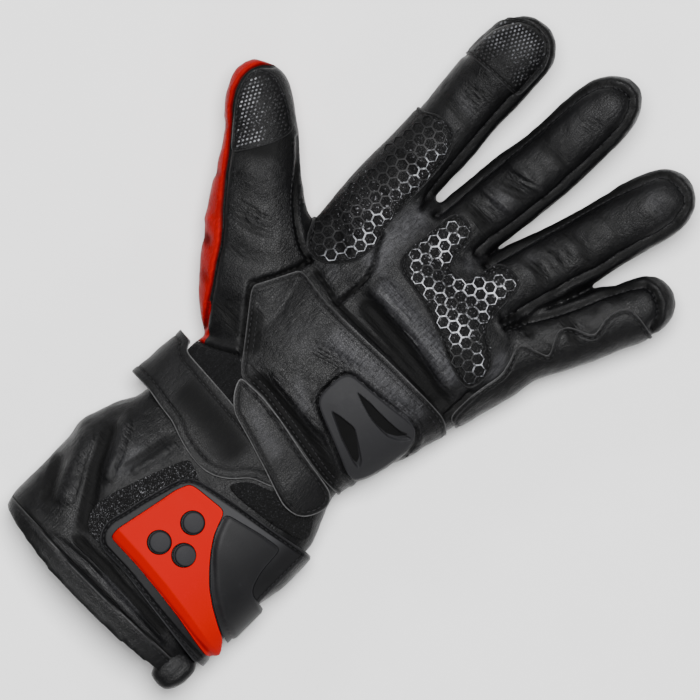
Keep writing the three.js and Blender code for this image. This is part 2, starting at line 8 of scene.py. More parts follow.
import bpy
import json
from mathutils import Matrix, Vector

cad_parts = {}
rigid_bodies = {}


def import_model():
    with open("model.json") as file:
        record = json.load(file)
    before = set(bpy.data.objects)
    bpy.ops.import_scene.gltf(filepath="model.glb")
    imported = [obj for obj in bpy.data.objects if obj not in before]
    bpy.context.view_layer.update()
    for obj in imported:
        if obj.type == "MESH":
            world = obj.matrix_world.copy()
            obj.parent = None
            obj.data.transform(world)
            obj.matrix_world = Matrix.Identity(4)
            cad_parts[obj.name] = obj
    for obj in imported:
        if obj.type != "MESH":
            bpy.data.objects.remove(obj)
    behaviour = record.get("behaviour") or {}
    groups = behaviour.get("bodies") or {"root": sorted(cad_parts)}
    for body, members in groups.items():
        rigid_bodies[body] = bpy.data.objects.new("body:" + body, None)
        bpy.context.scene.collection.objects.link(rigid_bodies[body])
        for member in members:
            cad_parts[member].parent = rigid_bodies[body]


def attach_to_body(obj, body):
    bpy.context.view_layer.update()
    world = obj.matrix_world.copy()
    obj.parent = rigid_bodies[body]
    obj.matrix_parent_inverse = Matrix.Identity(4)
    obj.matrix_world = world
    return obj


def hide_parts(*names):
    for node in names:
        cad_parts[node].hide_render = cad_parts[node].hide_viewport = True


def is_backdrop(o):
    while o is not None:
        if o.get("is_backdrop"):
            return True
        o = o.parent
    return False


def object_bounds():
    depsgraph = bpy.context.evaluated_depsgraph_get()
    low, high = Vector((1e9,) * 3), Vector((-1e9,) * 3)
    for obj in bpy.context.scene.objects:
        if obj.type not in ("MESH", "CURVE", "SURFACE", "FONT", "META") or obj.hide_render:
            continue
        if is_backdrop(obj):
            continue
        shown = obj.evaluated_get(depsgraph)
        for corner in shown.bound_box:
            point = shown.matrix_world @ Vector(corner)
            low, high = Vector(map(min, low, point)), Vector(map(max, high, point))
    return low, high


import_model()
cad_box = [list(corner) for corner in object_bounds()]

import json
import math

import bmesh
import bpy
import numpy as np
from mathutils import Matrix, Vector, noise
from mathutils.bvhtree import BVHTree

scene = bpy.context.scene
MM = 0.001
print("The part's box in metres", [[round(value, 4) for value in corner] for corner in cad_box])

# %% [markdown]
# ## Camera
# The glove was pictured from straight above, turned by an eighth of a turn, through a long lens. A frame of
# 308 mm at the height of the seams shows it at the size of the picture.

# %% Camera
FRAME_WIDTH = 308
SEAM = 24
LENS = 400
SENSOR = 36
camera_data = bpy.data.cameras.new("camera")
camera_data.lens = LENS
camera_data.sensor_width = SENSOR
camera_data.clip_end = 20
camera = bpy.data.objects.new("camera", camera_data)
scene.collection.objects.link(camera)
camera.location = (0, 0, (SEAM + FRAME_WIDTH * LENS / SENSOR) * MM)
camera.rotation_euler = (0, 0, math.radians(45))
scene.camera = camera
print("Camera at", round(camera.location.z, 3), "m above the floor")

# %% [markdown]
# ## Floor and light
# A plain pale floor under a soft box hung overhead, as in a studio. Leather that faces up shines softly and
# its slopes fall into black, as in the picture. Two small lamps draw the rims of the fingers.

# %% Floor and light
floor_mesh = bpy.data.meshes.new("floor")
floor_form = bmesh.new()
bmesh.ops.create_grid(floor_form, x_segments=1, y_segments=1, size=3)
floor_form.to_mesh(floor_mesh)
floor_form.free()
floor = bpy.data.objects.new("floor", floor_mesh)
floor.location = (0, 0, -0.0004)
scene.collection.objects.link(floor)
floor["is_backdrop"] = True

LAMPS = {
    # name: place in metres, size in metres, power in watts
    "top": ((-0.15, 0.25, 2.2), 0.9, 112),
    "left": ((-1.5, 0.5, 1.1), 0.5, 9),
    "right": ((1.3, -0.9, 1.0), 0.5, 6),
}
for name, (place, size, power) in LAMPS.items():
    lamp_data = bpy.data.lights.new(name, "AREA")
    lamp_data.shape = "DISK"
    lamp_data.size = size
    lamp_data.energy = power
    lamp = bpy.data.objects.new(name, lamp_data)
    lamp.location = place
    lamp.rotation_euler = Vector(place).to_track_quat("Z", "Y").to_euler()
    scene.collection.objects.link(lamp)
    lamp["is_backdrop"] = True

world = bpy.data.worlds.new("studio")
world.use_nodes = True
world.node_tree.nodes["Background"].inputs["Color"].default_value = (1, 1, 1, 1)
world.node_tree.nodes["Background"].inputs["Strength"].default_value = 0.12
scene.world = world
print("Lamps:", ", ".join(LAMPS))

# %% [markdown]
# ## Sizes of the hand
# The same tables as the CAD part's, in millimetres. Each row is a section of a limb: its left and right points
# on the silhouette, and for the trunk its height above and below the seams and its bow toward the mouth.

# %% Sizes of the hand
WALL = 3.4
FINGER_ROUNDNESS = 0.92
FINGER_TALLEST = 17.5
FINGER_CURL = 14
CURL_STARTS = 60
CURL_ENDS = 171
THUMB_STARTS = -50
THUMB_SLOPE = 0.09
FAR = 9  # further from any edge or seam than the shader looks

TRUNK = [
    # left x, left y, right x, right y, up, down, bow
    (-58.5, -155, 50, -156, 26, 25, 6.5),
    (-60.3, -147, 50.5, -148.5, 26, 25, 4),
    (-60.3, -132, 47, -137, 25.5, 25, 0),
    (-60.3, -114, 46.5, -120, 25, 25, 0),
    (-61.8, -106, 46.5, -110, 24.5, 25, 0),
    (-59.5, -97, 48.5, -101, 24, 25, 0),
    (-56.5, -88, 49, -93, 22.5, 25, 0),
    (-52, -79.5, 49, -85, 21, 25, 0),
    (-50.5, -66, 48.5, -74, 20, 25, 0),
    (-51, -55, 44, -61, 19.5, 25, 0),
    (-51, -46, 40.5, -51.5, 19.5, 25, 0),
    (-49, -38, 40, -46, 20, 25, 0),
    (-47, -25, 44.5, -33, 21, 25, 0),
    (-46, -10, 49.5, -15, 22, 25, 0),
    (-47, 4, 54.7, 4, 22, 25, 0),
    (-49, 16, 58.2, 16, 20.6, 25, 0),
    (-49.5, 27, 60.8, 26, 21.8, 25, 0),
    (-50, 37, 63, 34, 20.8, 24, 0),
    (-50.5, 49, 65, 44, 19, 22, 0),
    (-50, 60, 66, 51, 16.3, 18, 0),
    (-47, 70, 62, 62, 12, 14, 0),
    (-44, 75, 50, 69, 6.5, 8, 0),
]

FINGERS = {
    # left x, left y, right x, right y
    "index": [
        (-50, 20, -18, 20),
        (-52.5, 66, -21, 68),
        (-53, 95, -22, 95),
        (-55, 112, -23.5, 112),
        (-56.2, 136, -24, 136),
        (-55.8, 145, -24.7, 147),
        (-54.2, 150.5, -26, 152),
        (-51, 156, -29, 156.7),
        (-46, 160, -33.5, 160.3),
        (-42, 161.4, -37, 161.6),
    ],
    "middle": [
        (-18, 30, 12, 30),
        (-17.2, 76, 13.5, 76),
        (-15.3, 96, 16.5, 96),
        (-12.2, 120, 18.7, 120),
        (-9.8, 150, 19.2, 151),
        (-8.6, 157, 18.5, 158.5),
        (-6, 163, 16.2, 164.3),
        (-2.5, 167.8, 12, 169),
        (2, 170.6, 9, 171),
    ],
    "ring": [
        (8, 35, 36, 29),
        (16, 78, 47.5, 71),
        (19.8, 90, 52, 83.5),
        (24.8, 106, 56, 100),
        (28, 117, 58.6, 112),
        (35, 141, 64.3, 136),
        (38, 148.5, 65.2, 144),
        (41, 153.5, 63.6, 150),
        (45, 156.7, 59.8, 154.7),
        (49, 158.2, 55.5, 157.4),
    ],
    "little": [
        (30, 36, 58, 25),
        (38, 56, 65, 46),
        (48.5, 78, 75, 67),
        (53.5, 88, 79.5, 76),
        (58, 97, 83.8, 86),
        (62.5, 102, 87, 93),
        (65, 108, 89.3, 99.5),
        (67.5, 113, 90.8, 105.5),
        (70.5, 116.4, 89.6, 111.3),
        (74, 118.6, 86.2, 116),
        (78, 119.2, 82.5, 118.4),
    ],
    "thumb": [
        (-42, -44, -26, 8),
        (-54, -38, -34, 18),
        (-67, -27.5, -42, 25),
        (-77, -16, -49, 29),
        (-86, -4, -55, 29.8),
        (-97.5, 13.5, -66.5, 37),
        (-101.8, 21.5, -75, 44),
        (-107.7, 29.5, -82.5, 50.7),
        (-114, 36, -90, 56.3),
        (-119.3, 43, -97, 61.3),
        (-123, 52.5, -107.5, 65.3),
        (-122.3, 57.5, -112.5, 64.8),
        (-120.6, 60.5, -116, 63),
    ],
}

STRAP = [
    # left x, left y, right x, right y, up, down, bow
    (-61.5, -84, 50, -91, 24, 20, 0),
    (-61.2, -70, 50, -78, 22.8, 20, 0),
    (-60, -58, 46, -66, 22.2, 20, 0),
    (-59, -46, 43, -53, 22.2, 20, 0),
]
print(len(TRUNK), "sections of the trunk,", sum(map(len, FINGERS.values())), "of the fingers")

# %% [markdown]
# ## Outlines
# What is sewn or clipped on the hand, as outlines seen from above in millimetres.

# %% Outlines
OUTLINES = {
    "heel_panel": [
        (-40, 10), (-22, 7.5), (0, 8), (15, 8.5), (40, 8.5), (50, 8), (54, 6), (62, -2), (60, -20), (55, -42),
        (46, -49), (30, -48.5), (10, -45), (-12, -41.5), (-26, -42), (-33, -33), (-40, -24), (-47, -15),
        (-50.5, -10), (-48, -6), (-45, 0),
    ],
    "palm_slider": [
        (5, -12), (6, -9), (8, -7), (20, -6), (30, -5), (40, -3.5), (45, -4), (48, -8), (48.5, -15), (47, -25),
        (45, -33), (42, -39), (38, -39.5), (30, -36), (20, -32), (10, -28), (6, -26), (4.5, -22),
    ],
    "slider_crescent": [
        (14.4, -10.6), (21.4, -9.8), (31.9, -9.8), (40, -9.1), (44.3, -7.4), (44.3, -9), (41.5, -12.5),
        (37, -15), (31, -15.2), (26.2, -14.6), (20, -12.8),
    ],
    "slider_facet": [
        (12.3, -24.2), (17.1, -22.9), (24.9, -22), (31.2, -26.1), (36.3, -29.9), (37.6, -33.3), (34.5, -33.4),
        (24, -29.8),
    ],
    "grip_index": [
        (-60, 97), (-50, 97), (-47, 100), (-40, 101), (-35, 100), (-31, 95), (-29, 90), (-28, 80), (-27.5, 60),
        (-27, 50), (-25, 43), (-24, 38), (-25, 30), (-28, 25), (-35, 18.5), (-40, 17.5), (-45, 18), (-49, 22),
        (-52, 29), (-60, 36),
    ],
    "grip_palm": [
        (-11, 72), (-10, 75), (-8, 76.5), (-2, 76.5), (3, 74), (4, 70), (4, 60), (5, 57.5), (8, 56.5), (14, 57),
        (17, 62), (17, 68), (19, 73), (22, 75), (30, 75), (33, 73), (33.5, 70), (34, 60), (34, 55), (36, 49),
        (42, 45.5), (47, 42), (50, 38), (51, 32), (50, 25.5), (48, 24), (44, 24), (38, 25.5), (30, 28.5),
        (25, 31), (15, 35), (8, 37), (0, 38.5), (-8, 39.5), (-11, 41), (-13, 44), (-13.5, 50), (-12, 60),
        (-11.5, 68),
    ],
    "side_panel": [
        (62, 7), (58, 8.5), (52, 9.3), (51.5, 14), (51.8, 24), (53, 32), (54.5, 38), (54, 42), (50, 55),
        (64, 59.5), (58, 70), (60, 75), (71.5, 80), (69, 90), (71, 97), (74, 100), (82, 99.5), (95, 97),
        (95, 70), (75, 20),
    ],
    "touch_index": [
        (-60, 128), (-26, 130), (-26.5, 147), (-29, 153), (-34, 158), (-45, 158.5), (-51, 155), (-60, 147),
    ],
    "touch_thumb": [
        (-98, 24), (-92, 33), (-88, 40), (-86, 46), (-85.5, 51), (-96, 58), (-107, 62.5), (-114, 61),
        (-117, 57), (-117, 51), (-113, 42), (-105, 32),
    ],
    "thumb": [
        (-40.6, 15), (-41.5, 10), (-45.6, 0), (-49, -5.5), (-51.2, -10), (-47.6, -15.4), (-40.6, -24.4),
        (-33.6, -33.4), (-31.5, -36), (-33, -36), (-40, -40), (-46, -43), (-52, -45), (-80, -45), (-140, -10),
        (-140, 60), (-125, 90), (-100, 90), (-80, 62), (-53, 32), (-50.5, 20),
    ],
    "wrist_gusset": [
        (-31, -36.3), (-33, -36.3), (-40, -40.3), (-46, -43.3), (-52, -45.3), (-70, -46), (-70, -54),
        (-12, -59), (-14, -42), (-26, -42.2),
    ],
    "wrist_tab": [
        (-26, -42), (-12, -41.5), (0, -43), (10, -45), (20, -47), (30, -48.5), (38, -50), (40.5, -52),
        (42, -56), (41, -60), (38.5, -65), (35, -68), (28, -69), (20, -66.5), (10, -63), (-3, -59),
        (-17, -55), (-23, -49),
    ],
    "wrist_strap": [
        (-70, -46), (-52, -46), (-51, -51), (-25, -52.5), (-10, -54), (20, -56), (20, -66), (9, -70), (3, -77),
        (-3, -81), (-9, -82.5), (-17, -82), (-25, -80), (-33, -77), (-42, -76), (-50, -74.5), (-70, -74.5),
    ],
    "wrist_loop_pad": [
        (24, -60), (22, -67), (10, -71.5), (6, -76), (4, -80), (12, -80.3), (30, -78), (44, -74.5), (46, -71),
        (40, -62),
    ],
    "cuff_loop_pad": [
        (-14, -83.5), (-16, -83), (-20, -92), (-25, -105), (-29, -117), (-31, -126), (-29, -133), (-25, -137),
        (-12, -137), (-10, -115), (-4, -88),
    ],
    "flap_frame": [
        (50, -76), (30, -80), (15, -82.5), (5, -84.5), (-3, -86), (-9, -88), (-13, -93), (-15, -100),
        (-18, -110), (-20, -120), (-22, -127), (-21, -133), (-17, -137.5), (0, -138), (15, -140), (30, -142),
        (50, -145),
    ],
    "flap": [
        (70, -76), (50, -76.5), (30, -80.7), (15, -83.2), (5, -85.2), (-3, -86.7), (-8.5, -88.6),
        (-12.3, -93.4), (-14.3, -100), (-17.3, -110), (-19.3, -120), (-21.2, -127), (-20.2, -132.8),
        (-16.6, -136.8), (0, -137.3), (15, -139.3), (30, -141.3), (50, -144.3), (70, -142),
    ],
    "flap_inlay": [
        (-8, -91), (-5, -90), (5, -89), (10, -88.5), (11.5, -89.5), (13, -94), (15, -99), (19, -105),
        (24, -111), (30, -117), (37, -122), (44, -126), (50, -129), (54.5, -135), (51, -139.5),
        (45, -138.5), (30, -135.5), (15, -133.5), (0, -132), (-16, -131.5), (-16.5, -127), (-14, -115),
        (-12, -105), (-10.5, -97),
    ],
    "flap_shell": [
        (12.4, -89), (20, -87), (30, -84.5), (40, -83), (40.5, -90), (41, -96), (43, -103), (45, -106),
        (60, -109), (60, -131), (50.4, -128.4), (44.4, -125.4), (37.4, -121.4), (30.4, -116.4),
        (24.5, -110.5), (19.5, -104.6), (15.5, -98.7), (13.5, -93.8),
    ],
}
STUDS = [(4.8, -101.8), (12, -114.5), (0.5, -118)]
print(len(OUTLINES), "outlines")

# %% [markdown]
# ## Folds of the leather
# The leather bends where the hand bends: creases across the fingers, the valley and the ridge of the palm, and
# long diagonal folds down the cuff. Each row is a line seen from above with the fold's half width and its
# height, below zero for a valley. PAINTED_LIGHT_AND_SHADE says in the same way where a painted sheen lightens
# the leather and, below zero, where painted shade blackens it, and the last tables hold the seams.

# %% Folds
FOLDS = [
    # points, half width, height
    ([(-13, 19.5), (-3, 19), (18, 16.8), (38, 13.4), (50, 11.5)], 4.2, -3.0),
    ([(-15, 27.5), (-3, 26.5), (14, 25), (31, 22.8), (45, 19)], 5.2, 2.0),
    ([(-44, 36), (-36, 31), (-27, 29)], 2.2, -1.5),
    ([(-48, 44), (-38, 40), (-28, 40)], 3.5, 0.9),
    ([(-46, 60), (-30, 57)], 4, -0.7),
    ([(-48, 76), (-29, 78)], 3.5, -1.0),
    ([(-16, 79), (-3, 81), (10, 78)], 2.6, -0.8),
    ([(-15, 91), (0, 92), (13, 94)], 2.2, 0.6),
    ([(-13, 97), (2, 100), (14, 104)], 4.5, -0.6),
    ([(-13, 110), (5, 107), (16, 110)], 3.6, 0.8),
    ([(-11, 122), (4, 124), (17, 121)], 3.2, -0.7),
    ([(18, 80), (32, 82), (45, 77)], 2.8, -0.7),
    ([(21, 94), (34, 92), (50, 88)], 3, -0.4),
    ([(23, 103), (38, 104), (52, 98)], 3, -0.9),
    ([(30, 118), (42, 120), (58, 112)], 3, -0.6),
    ([(-55, 106), (-42, 107), (-25, 105)], 2.8, -0.6),
    ([(-56, 124), (-42, 123), (-25, 125)], 3, -0.5),
    ([(44, 62), (56, 60)], 2.4, -1.4),
    ([(52, 78), (62, 74), (72, 70)], 2.8, -1.2),
    ([(58, 90), (68, 86)], 2.6, -1.0),
    ([(-52, -95), (-42, -115), (-32, -130), (-25, -140)], 3.6, -2.2),
    ([(-50, -88), (-40, -105), (-34, -118)], 3.2, 1.5),
    ([(-57, -104), (-50, -120), (-40, -138)], 4.5, 1.6),
    ([(-59, -120), (-52, -134), (-46, -144)], 3.2, -1.7),
    ([(-29, -79), (-31, -94), (-35, -110)], 2.0, -1.0),
    ([(-23, -79), (-26.5, -92), (-31, -108)], 3, 0.6),
    ([(-30, -143), (-8, -142.5), (15, -144), (34, -146)], 2.6, -1.7),
    ([(-38, -150), (-15, -148), (10, -148.3), (36, -149)], 2.6, 1.0),
    ([(-62, -30), (-48, -26), (-38, -32)], 4, -0.9),
    ([(-74, -6), (-62, -4), (-52, 2)], 3.5, -0.5),
    ([(-80, 6), (-66, 8), (-56, 16)], 3.5, -0.3),
    ([(-90, 14), (-76, 18), (-66, 26)], 3.2, -0.2),
    ([(-60, -18), (-50, -14), (-44, -4)], 4.5, 0.5),
    ([(-72, 12), (-60, 14)], 4, 0.3),
    ([(-24, -37), (-8, -38.5), (4, -39.5), (18, -42), (38, -48)], 4.2, -2.2),
    ([(-20, -31), (0, -33), (20, -34)], 3.4, 1.0),
    ([(-16, -1), (10, 1), (40, 1)], 6, 0.5),
    ([(-44, -14), (-36, -24), (-27, -34)], 4.5, -1.2),
    ([(-40, 14.5), (-25, 12), (-20, 10.5), (0, 10.3), (15, 10.8), (30, 10.5), (50, 9)], 1.3, -1.5),
]
WRINKLES = [
    # middle line of a group of fine parallel wrinkles, how many, and how far apart they are
    ([(-8, 99), (1, 102), (10, 105)], 4, 2.7),
    ([(-8, 87), (0, 88), (8, 88)], 2, 2.6),
    ([(-9, 80), (0, 81), (8, 79)], 3, 2.2),
    ([(25, 91), (34, 93), (44, 91)], 3, 4.2),
    ([(24, 82), (34, 83), (42, 80)], 2, 2.4),
    ([(-48, 114), (-40, 116), (-31, 115)], 4, 2.5),
    ([(0, 142), (8, 144), (12, 143)], 3, 2.6),
    ([(46, 138), (52, 139), (58, 136)], 2, 3),
    ([(-80, 8), (-68, 10), (-60, 14)], 4, 2.6),
    ([(-8, 24), (12, 22.5), (30, 21)], 2, 2.4),
    ([(24, -3), (40, -1), (50, -3)], 2, 2.3),
    ([(-15, -12), (-2, -8), (10, -5.2)], 5, 1.6),
    ([(58, 80), (66, 77)], 3, 2.4),
]
BACK_FOLDS = [
    # across the red back of the thumb: points, half width, height
    ([(-84, -7), (-74, -13)], 2.2, -1.6),
    ([(-90, -1), (-80, -5)], 3, 0.9),
    ([(-101, 13), (-92, 14)], 2.4, -1.2),
    ([(-104, 20), (-96, 22)], 2.6, 0.6),
    ([(-112, 30), (-104, 33)], 2.6, -0.7),
    ([(-74, -18), (-62, -26)], 2.6, -0.8),
]
PAINTED_LIGHT_AND_SHADE = [
    # where the leather gets a painted sheen, below zero where it gets painted shade: line, half width, amount
    ([(-20, 28), (-20.5, 45), (-21, 58), (-18, 68)], 6.5, 0.9),
    ([(-14, 31), (12, 28.5), (34, 25), (46, 21)], 6, 0.9),
    ([(-34, 17), (-26, 22)], 5, 0.9),
    ([(8, 60), (13, 66)], 4.5, 0.9),
    ([(52, 30), (51, 40), (47, 50)], 3.5, 0.8),
    ([(-3, 86), (1, 95), (4, 101)], 7, 0.55),
    ([(-42, 106), (-38, 118)], 7, 0.5),
    ([(26, 78), (32, 88)], 6, 0.55),
    ([(46, 134), (52, 146)], 7, 0.5),
    ([(6, 152), (9, 160)], 5, 0.45),
    ([(-14, -1), (14, 0.5), (30, 0.7), (46, 0)], 6.5, 0.8),
    ([(-10, -24), (2, -30.5), (9, -34)], 3.6, 0.65),
    ([(-28, -8), (-8, -16)], 9, 0.35),
    ([(-36, -90), (-34, -104), (-33, -114)], 4.5, 0.55),
    ([(-48, -100), (-42, -118)], 4, 0.35),
    ([(-16, -47), (-2, -52.5), (14, -56)], 4.5, 0.6),
    ([(-10, -144.5), (20, -146)], 4, 0.5),
    ([(43, -158), (43, -150)], 5, 0.5),
    ([(-86, 28), (-94, 38), (-104, 50)], 13, -0.9),
    ([(-66, 6), (-58, 12)], 8, 0.2),
    ([(-24, 84), (-30, 100)], 4, -0.3),
    ([(-44, -63), (-20, -64), (2, -68)], 9, -0.9),
    ([(4, 118), (5, 138)], 8, -0.4),
    ([(36, 106), (42, 120)], 8, -0.3),
    ([(-40, 133), (-40, 140)], 9, -0.3),
]
SEAM_GROOVES = {
    # seams between the hand's own panels, sunk into the leather
    "thumb_front": [
        (-82, 50), (-75, 43), (-70, 37), (-65, 31), (-60, 26), (-55, 22), (-50, 18.5), (-46, 16.5), (-40, 15),
    ],
    "thumb_root": [
        (-40.6, 15), (-41.5, 10), (-45.6, 0), (-49, -5.5), (-51.2, -10), (-47.6, -15.4), (-40.6, -24.4),
        (-33.6, -33.4),
    ],
    "thumb_back": [
        (-112, 64.5), (-116, 61), (-118, 56), (-118, 51), (-116, 45), (-112, 39), (-108, 35), (-103, 29),
        (-98, 23), (-93, 16), (-88, 10), (-83, 4), (-78, -1), (-73, -7), (-68, -15), (-63, -22), (-58, -30),
        (-52, -38),
    ],
    "palm_centre": [(-26, 46), (-23, 39.7), (-19, 34), (-17, 27), (-17.3, 21), (-18.3, 11)],
    "palm_right": [(50.3, 9), (50.3, 24)],
    "gusset": [(-52, -45), (-46, -43.2), (-40, -40.2), (-33, -36.2)],
}
HEM_SEAM = [(-59, -150.4), (-40, -151.2), (-20, -152.6), (0, -152.7), (20, -151.6), (35, -151), (49, -151)]
FINGER_SEAMS = {
    # the seam round the front of each finger, clockwise from the palm
    "index": [
        (-57, 128), (-56.5, 138), (-55.6, 144), (-53.5, 149.5), (-50, 154.5), (-44, 157.6), (-38, 158.2),
        (-33.5, 156.5), (-30, 153), (-28, 147), (-27.2, 130), (-26.6, 115), (-25.2, 95), (-23, 76), (-21.5, 66),
    ],
    "middle": [
        (-15.6, 68), (-14.8, 76), (-14.3, 85), (-13.6, 95), (-12.3, 105), (-11, 120), (-9.6, 135), (-8.3, 150),
        (-6, 158), (-2, 163), (4, 166), (9, 165.5), (13, 162), (15.5, 155), (16, 145), (15.8, 130), (15, 115),
        (13.5, 100), (12, 88), (10.2, 77), (9.5, 69),
    ],
    "ring": [
        (15.5, 68), (17.5, 75), (20, 84), (23, 95), (26, 105), (29.5, 118), (33, 130), (37, 140), (41, 150),
        (44, 152.5), (50, 153.5), (56, 152.5), (60, 149), (62, 140), (60, 130), (57, 122), (54.5, 111),
        (52, 100), (48, 90), (44, 75), (41, 64), (38.5, 56),
    ],
    "little": [
        (41.5, 55), (46, 65), (52, 75), (57, 85), (61, 95), (66, 105), (71, 112), (76, 112.8), (82, 110.5),
        (86, 106), (88, 100),
    ],
}
print(len(FOLDS), "folds and", len(WRINKLES), "groups of wrinkles")
print(len(SEAM_GROOVES) + len(FINGER_SEAMS) + 1, "seams")

# %% [markdown]
# ## Helpers for shapes
# A limb is a grid bent round its sections and welded into a tube. A line seen from above gives how far each
# place is from it, which is all that folds, rounded edges and ribs need.


# %% Helpers for shapes
def smooth_curve(knots, values, places):
    """Values between the knots, without overshoot."""
    slope = np.diff(values) / np.diff(knots)
    together = slope[:-1] + slope[1:]
    safe = np.where(np.abs(together) < 1e-9, 1, together)
    inner = np.where(slope[:-1] * slope[1:] > 0, 2 * slope[:-1] * slope[1:] / safe, 0)
    tangent = np.concatenate([[slope[0]], inner, [slope[-1]]])
    span = np.clip(np.searchsorted(knots, places, side="right") - 1, 0, len(slope) - 1)
    width = knots[span + 1] - knots[span]
    t = (places - knots[span]) / width
    rise = (3 - 2 * t) * t * t
    start = tangent[span] * width * t * (1 - t) ** 2
    end = tangent[span + 1] * width * t * t * (t - 1)
    return values[span] * (1 - rise) + values[span + 1] * rise + start + end


def rise_of(x, y):
    """Height that the curl of the fingers and the lift of the thumb add."""
    curl = FINGER_CURL * np.clip((y - CURL_STARTS) / (CURL_ENDS - CURL_STARTS), 0, None) ** 1.5
    thumb = np.where(y < 70, np.clip(THUMB_STARTS - x, 0, None) * THUMB_SLOPE, 0)
    return curl + thumb


def limb_points(rows, distance, sides, corner, step, mouth=0):
    """Points of a limb's surface moved out by a distance, one closed ring to a section."""
    rows = np.array(rows, float)
    middle = (rows[:, 0:2] + rows[:, 2:4]) / 2
    along = np.concatenate([[0], np.cumsum(np.linalg.norm(np.diff(middle, axis=0), axis=1))])
    even = np.linspace(0, along[-1], max(3, round(along[-1] / step)))
    places = np.unique(np.round(np.concatenate([even, along[:1], along[-4:]]), 3))
    rows = np.stack([smooth_curve(along, rows[:, c], places) for c in range(rows.shape[1])], axis=1)
    centre = (rows[:, 0:2] + rows[:, 2:4]) / 2
    half = np.linalg.norm(rows[:, 2:4] - rows[:, 0:2], axis=1) / 2
    across = (rows[:, 2:4] - rows[:, 0:2]) / (2 * half[:, None])
    finger = np.minimum(FINGER_ROUNDNESS * half, FINGER_TALLEST)
    flat = rows.shape[1] == 4
    up, down, bow = (finger, finger, 0 * half) if flat else (rows[:, 4], rows[:, 5], rows[:, 6])
    ahead = np.gradient(centre, places, axis=0)
    length = np.linalg.norm(ahead, axis=1)
    narrowing = -np.gradient(half, places) / length
    lean = 1 / np.hypot(1, narrowing)
    centre = centre + ahead / length[:, None] * (distance * narrowing * lean)[:, None]
    half, up, down = (np.maximum(0.6, size + distance * lean) for size in (half, up, down))
    if mouth:
        away = -ahead[0] / length[0] * mouth
        centre = np.vstack([centre[0] + away, centre])
        half, up, down, bow = (np.concatenate([size[:1], size]) for size in (half, up, down, bow))
        across = np.vstack([across[:1], across])
    angle = np.linspace(0, 2 * np.pi, sides + 1)
    c, s = np.cos(angle)[None], np.sin(angle)[None]
    wide = half[:, None] * np.sign(c) * np.abs(c) ** (2 / corner)
    tall = np.where(s > 0, up[:, None], down[:, None]) * np.sign(s) * np.abs(s) ** (2 / corner)
    bowed = bow[:, None] * s * s
    x = centre[:, :1] + across[:, :1] * wide + across[:, 1:] * bowed
    y = centre[:, 1:] + across[:, 1:] * wide - across[:, :1] * bowed
    level = SEAM + rise_of(centre[:, 0], centre[:, 1])
    z = np.maximum(-distance, level[:, None] + tall)
    return np.stack([x, y, z], axis=2)


def add_limb(form, points):
    """Bends a grid round the rings of a limb, welds it into a tube and closes its ends."""
    rings, places = points.shape[:2]
    grid = bmesh.ops.create_grid(form, x_segments=places - 1, y_segments=rings - 1, size=1)["verts"]
    for vertex, point in zip(grid, points.reshape(-1, 3)):
        vertex.co = point
    bmesh.ops.remove_doubles(form, verts=grid, dist=1e-3)
    rims = [edge for edge in form.edges if edge.is_boundary]
    bmesh.ops.holes_fill(form, edges=rims, sides=0)


def new_piece(name, form):
    """An object from a form, with its faces turned outward."""
    bmesh.ops.recalc_face_normals(form, faces=form.faces[:])
    mesh = bpy.data.meshes.new(name)
    form.to_mesh(mesh)
    form.free()
    piece = bpy.data.objects.new(name, mesh)
    scene.collection.objects.link(piece)
    return piece


def baked(piece):
    """Applies the modifiers of a piece."""
    graph = bpy.context.evaluated_depsgraph_get()
    mesh = bpy.data.meshes.new_from_object(piece.evaluated_get(graph))
    piece.modifiers.clear()
    piece.data = mesh
    return piece


def cut(piece, tool, operation):
    """Intersects a piece with a tool, or takes the tool away from it."""
    modifier = piece.modifiers.new("cut", "BOOLEAN")
    modifier.operation = operation
    modifier.solver = "MANIFOLD"
    modifier.object = tool
    return baked(piece)


def copy_of(piece, name):
    twin = piece.copy()
    twin.data = piece.data.copy()
    twin.name = name
    scene.collection.objects.link(twin)
    return twin


def dropped(*pieces):
    for piece in pieces:
        bpy.data.objects.remove(piece)


def points_of(piece):
    flat = np.empty(len(piece.data.vertices) * 3)
    piece.data.vertices.foreach_get("co", flat)
    return flat.reshape(-1, 3)


def normals_of(piece):
    flat = np.empty(len(piece.data.vertices) * 3)
    piece.data.vertex_normals.foreach_get("vector", flat)
    return flat.reshape(-1, 3)


def set_points(piece, points):
    piece.data.vertices.foreach_set("co", points.ravel())
    piece.data.update()


def along_line(line, places, closed=False):
    """Distance from each place to a line seen from above, and how far along the line that is."""
    line = np.array(line, float)
    if closed:
        line = np.vstack([line, line[:1]])
    best = np.full(len(places), 1e9)
    station = np.zeros(len(places))
    before = 0
    for a, b in zip(line[:-1], line[1:]):
        step = b - a
        length = np.linalg.norm(step)
        t = np.clip((places - a) @ step / length**2, 0, 1)
        apart = np.linalg.norm(places - a - t[:, None] * step, axis=1)
        nearer = apart < best
        best = np.where(nearer, apart, best)
        station = np.where(nearer, before + t * length, station)
        before += length
    return best, station


def inside(outline, places):
    """True for each place within an outline."""
    x, y = places[:, 0], places[:, 1]
    crossings = np.zeros(len(places), int)
    for (ax, ay), (bx, by) in zip(outline, np.roll(outline, -1, axis=0)):
        spans = (ay > y) != (by > y)
        height = by - ay if by != ay else 1
        crossings += spans & (x < ax + (y - ay) * (bx - ax) / height)
    return crossings % 2 == 1


def beside(line, distance):
    """A line moved sideways."""
    line = np.array(line, float)
    along = np.gradient(line, axis=0)
    side = np.stack([-along[:, 1], along[:, 0]], axis=1)
    return line + side / np.linalg.norm(side, axis=1)[:, None] * distance


def depth_in(outline, places):
    """Distance to the outline, above zero inside it."""
    apart, station = along_line(outline, places, closed=True)
    return np.where(inside(outline, places), apart, -apart), station


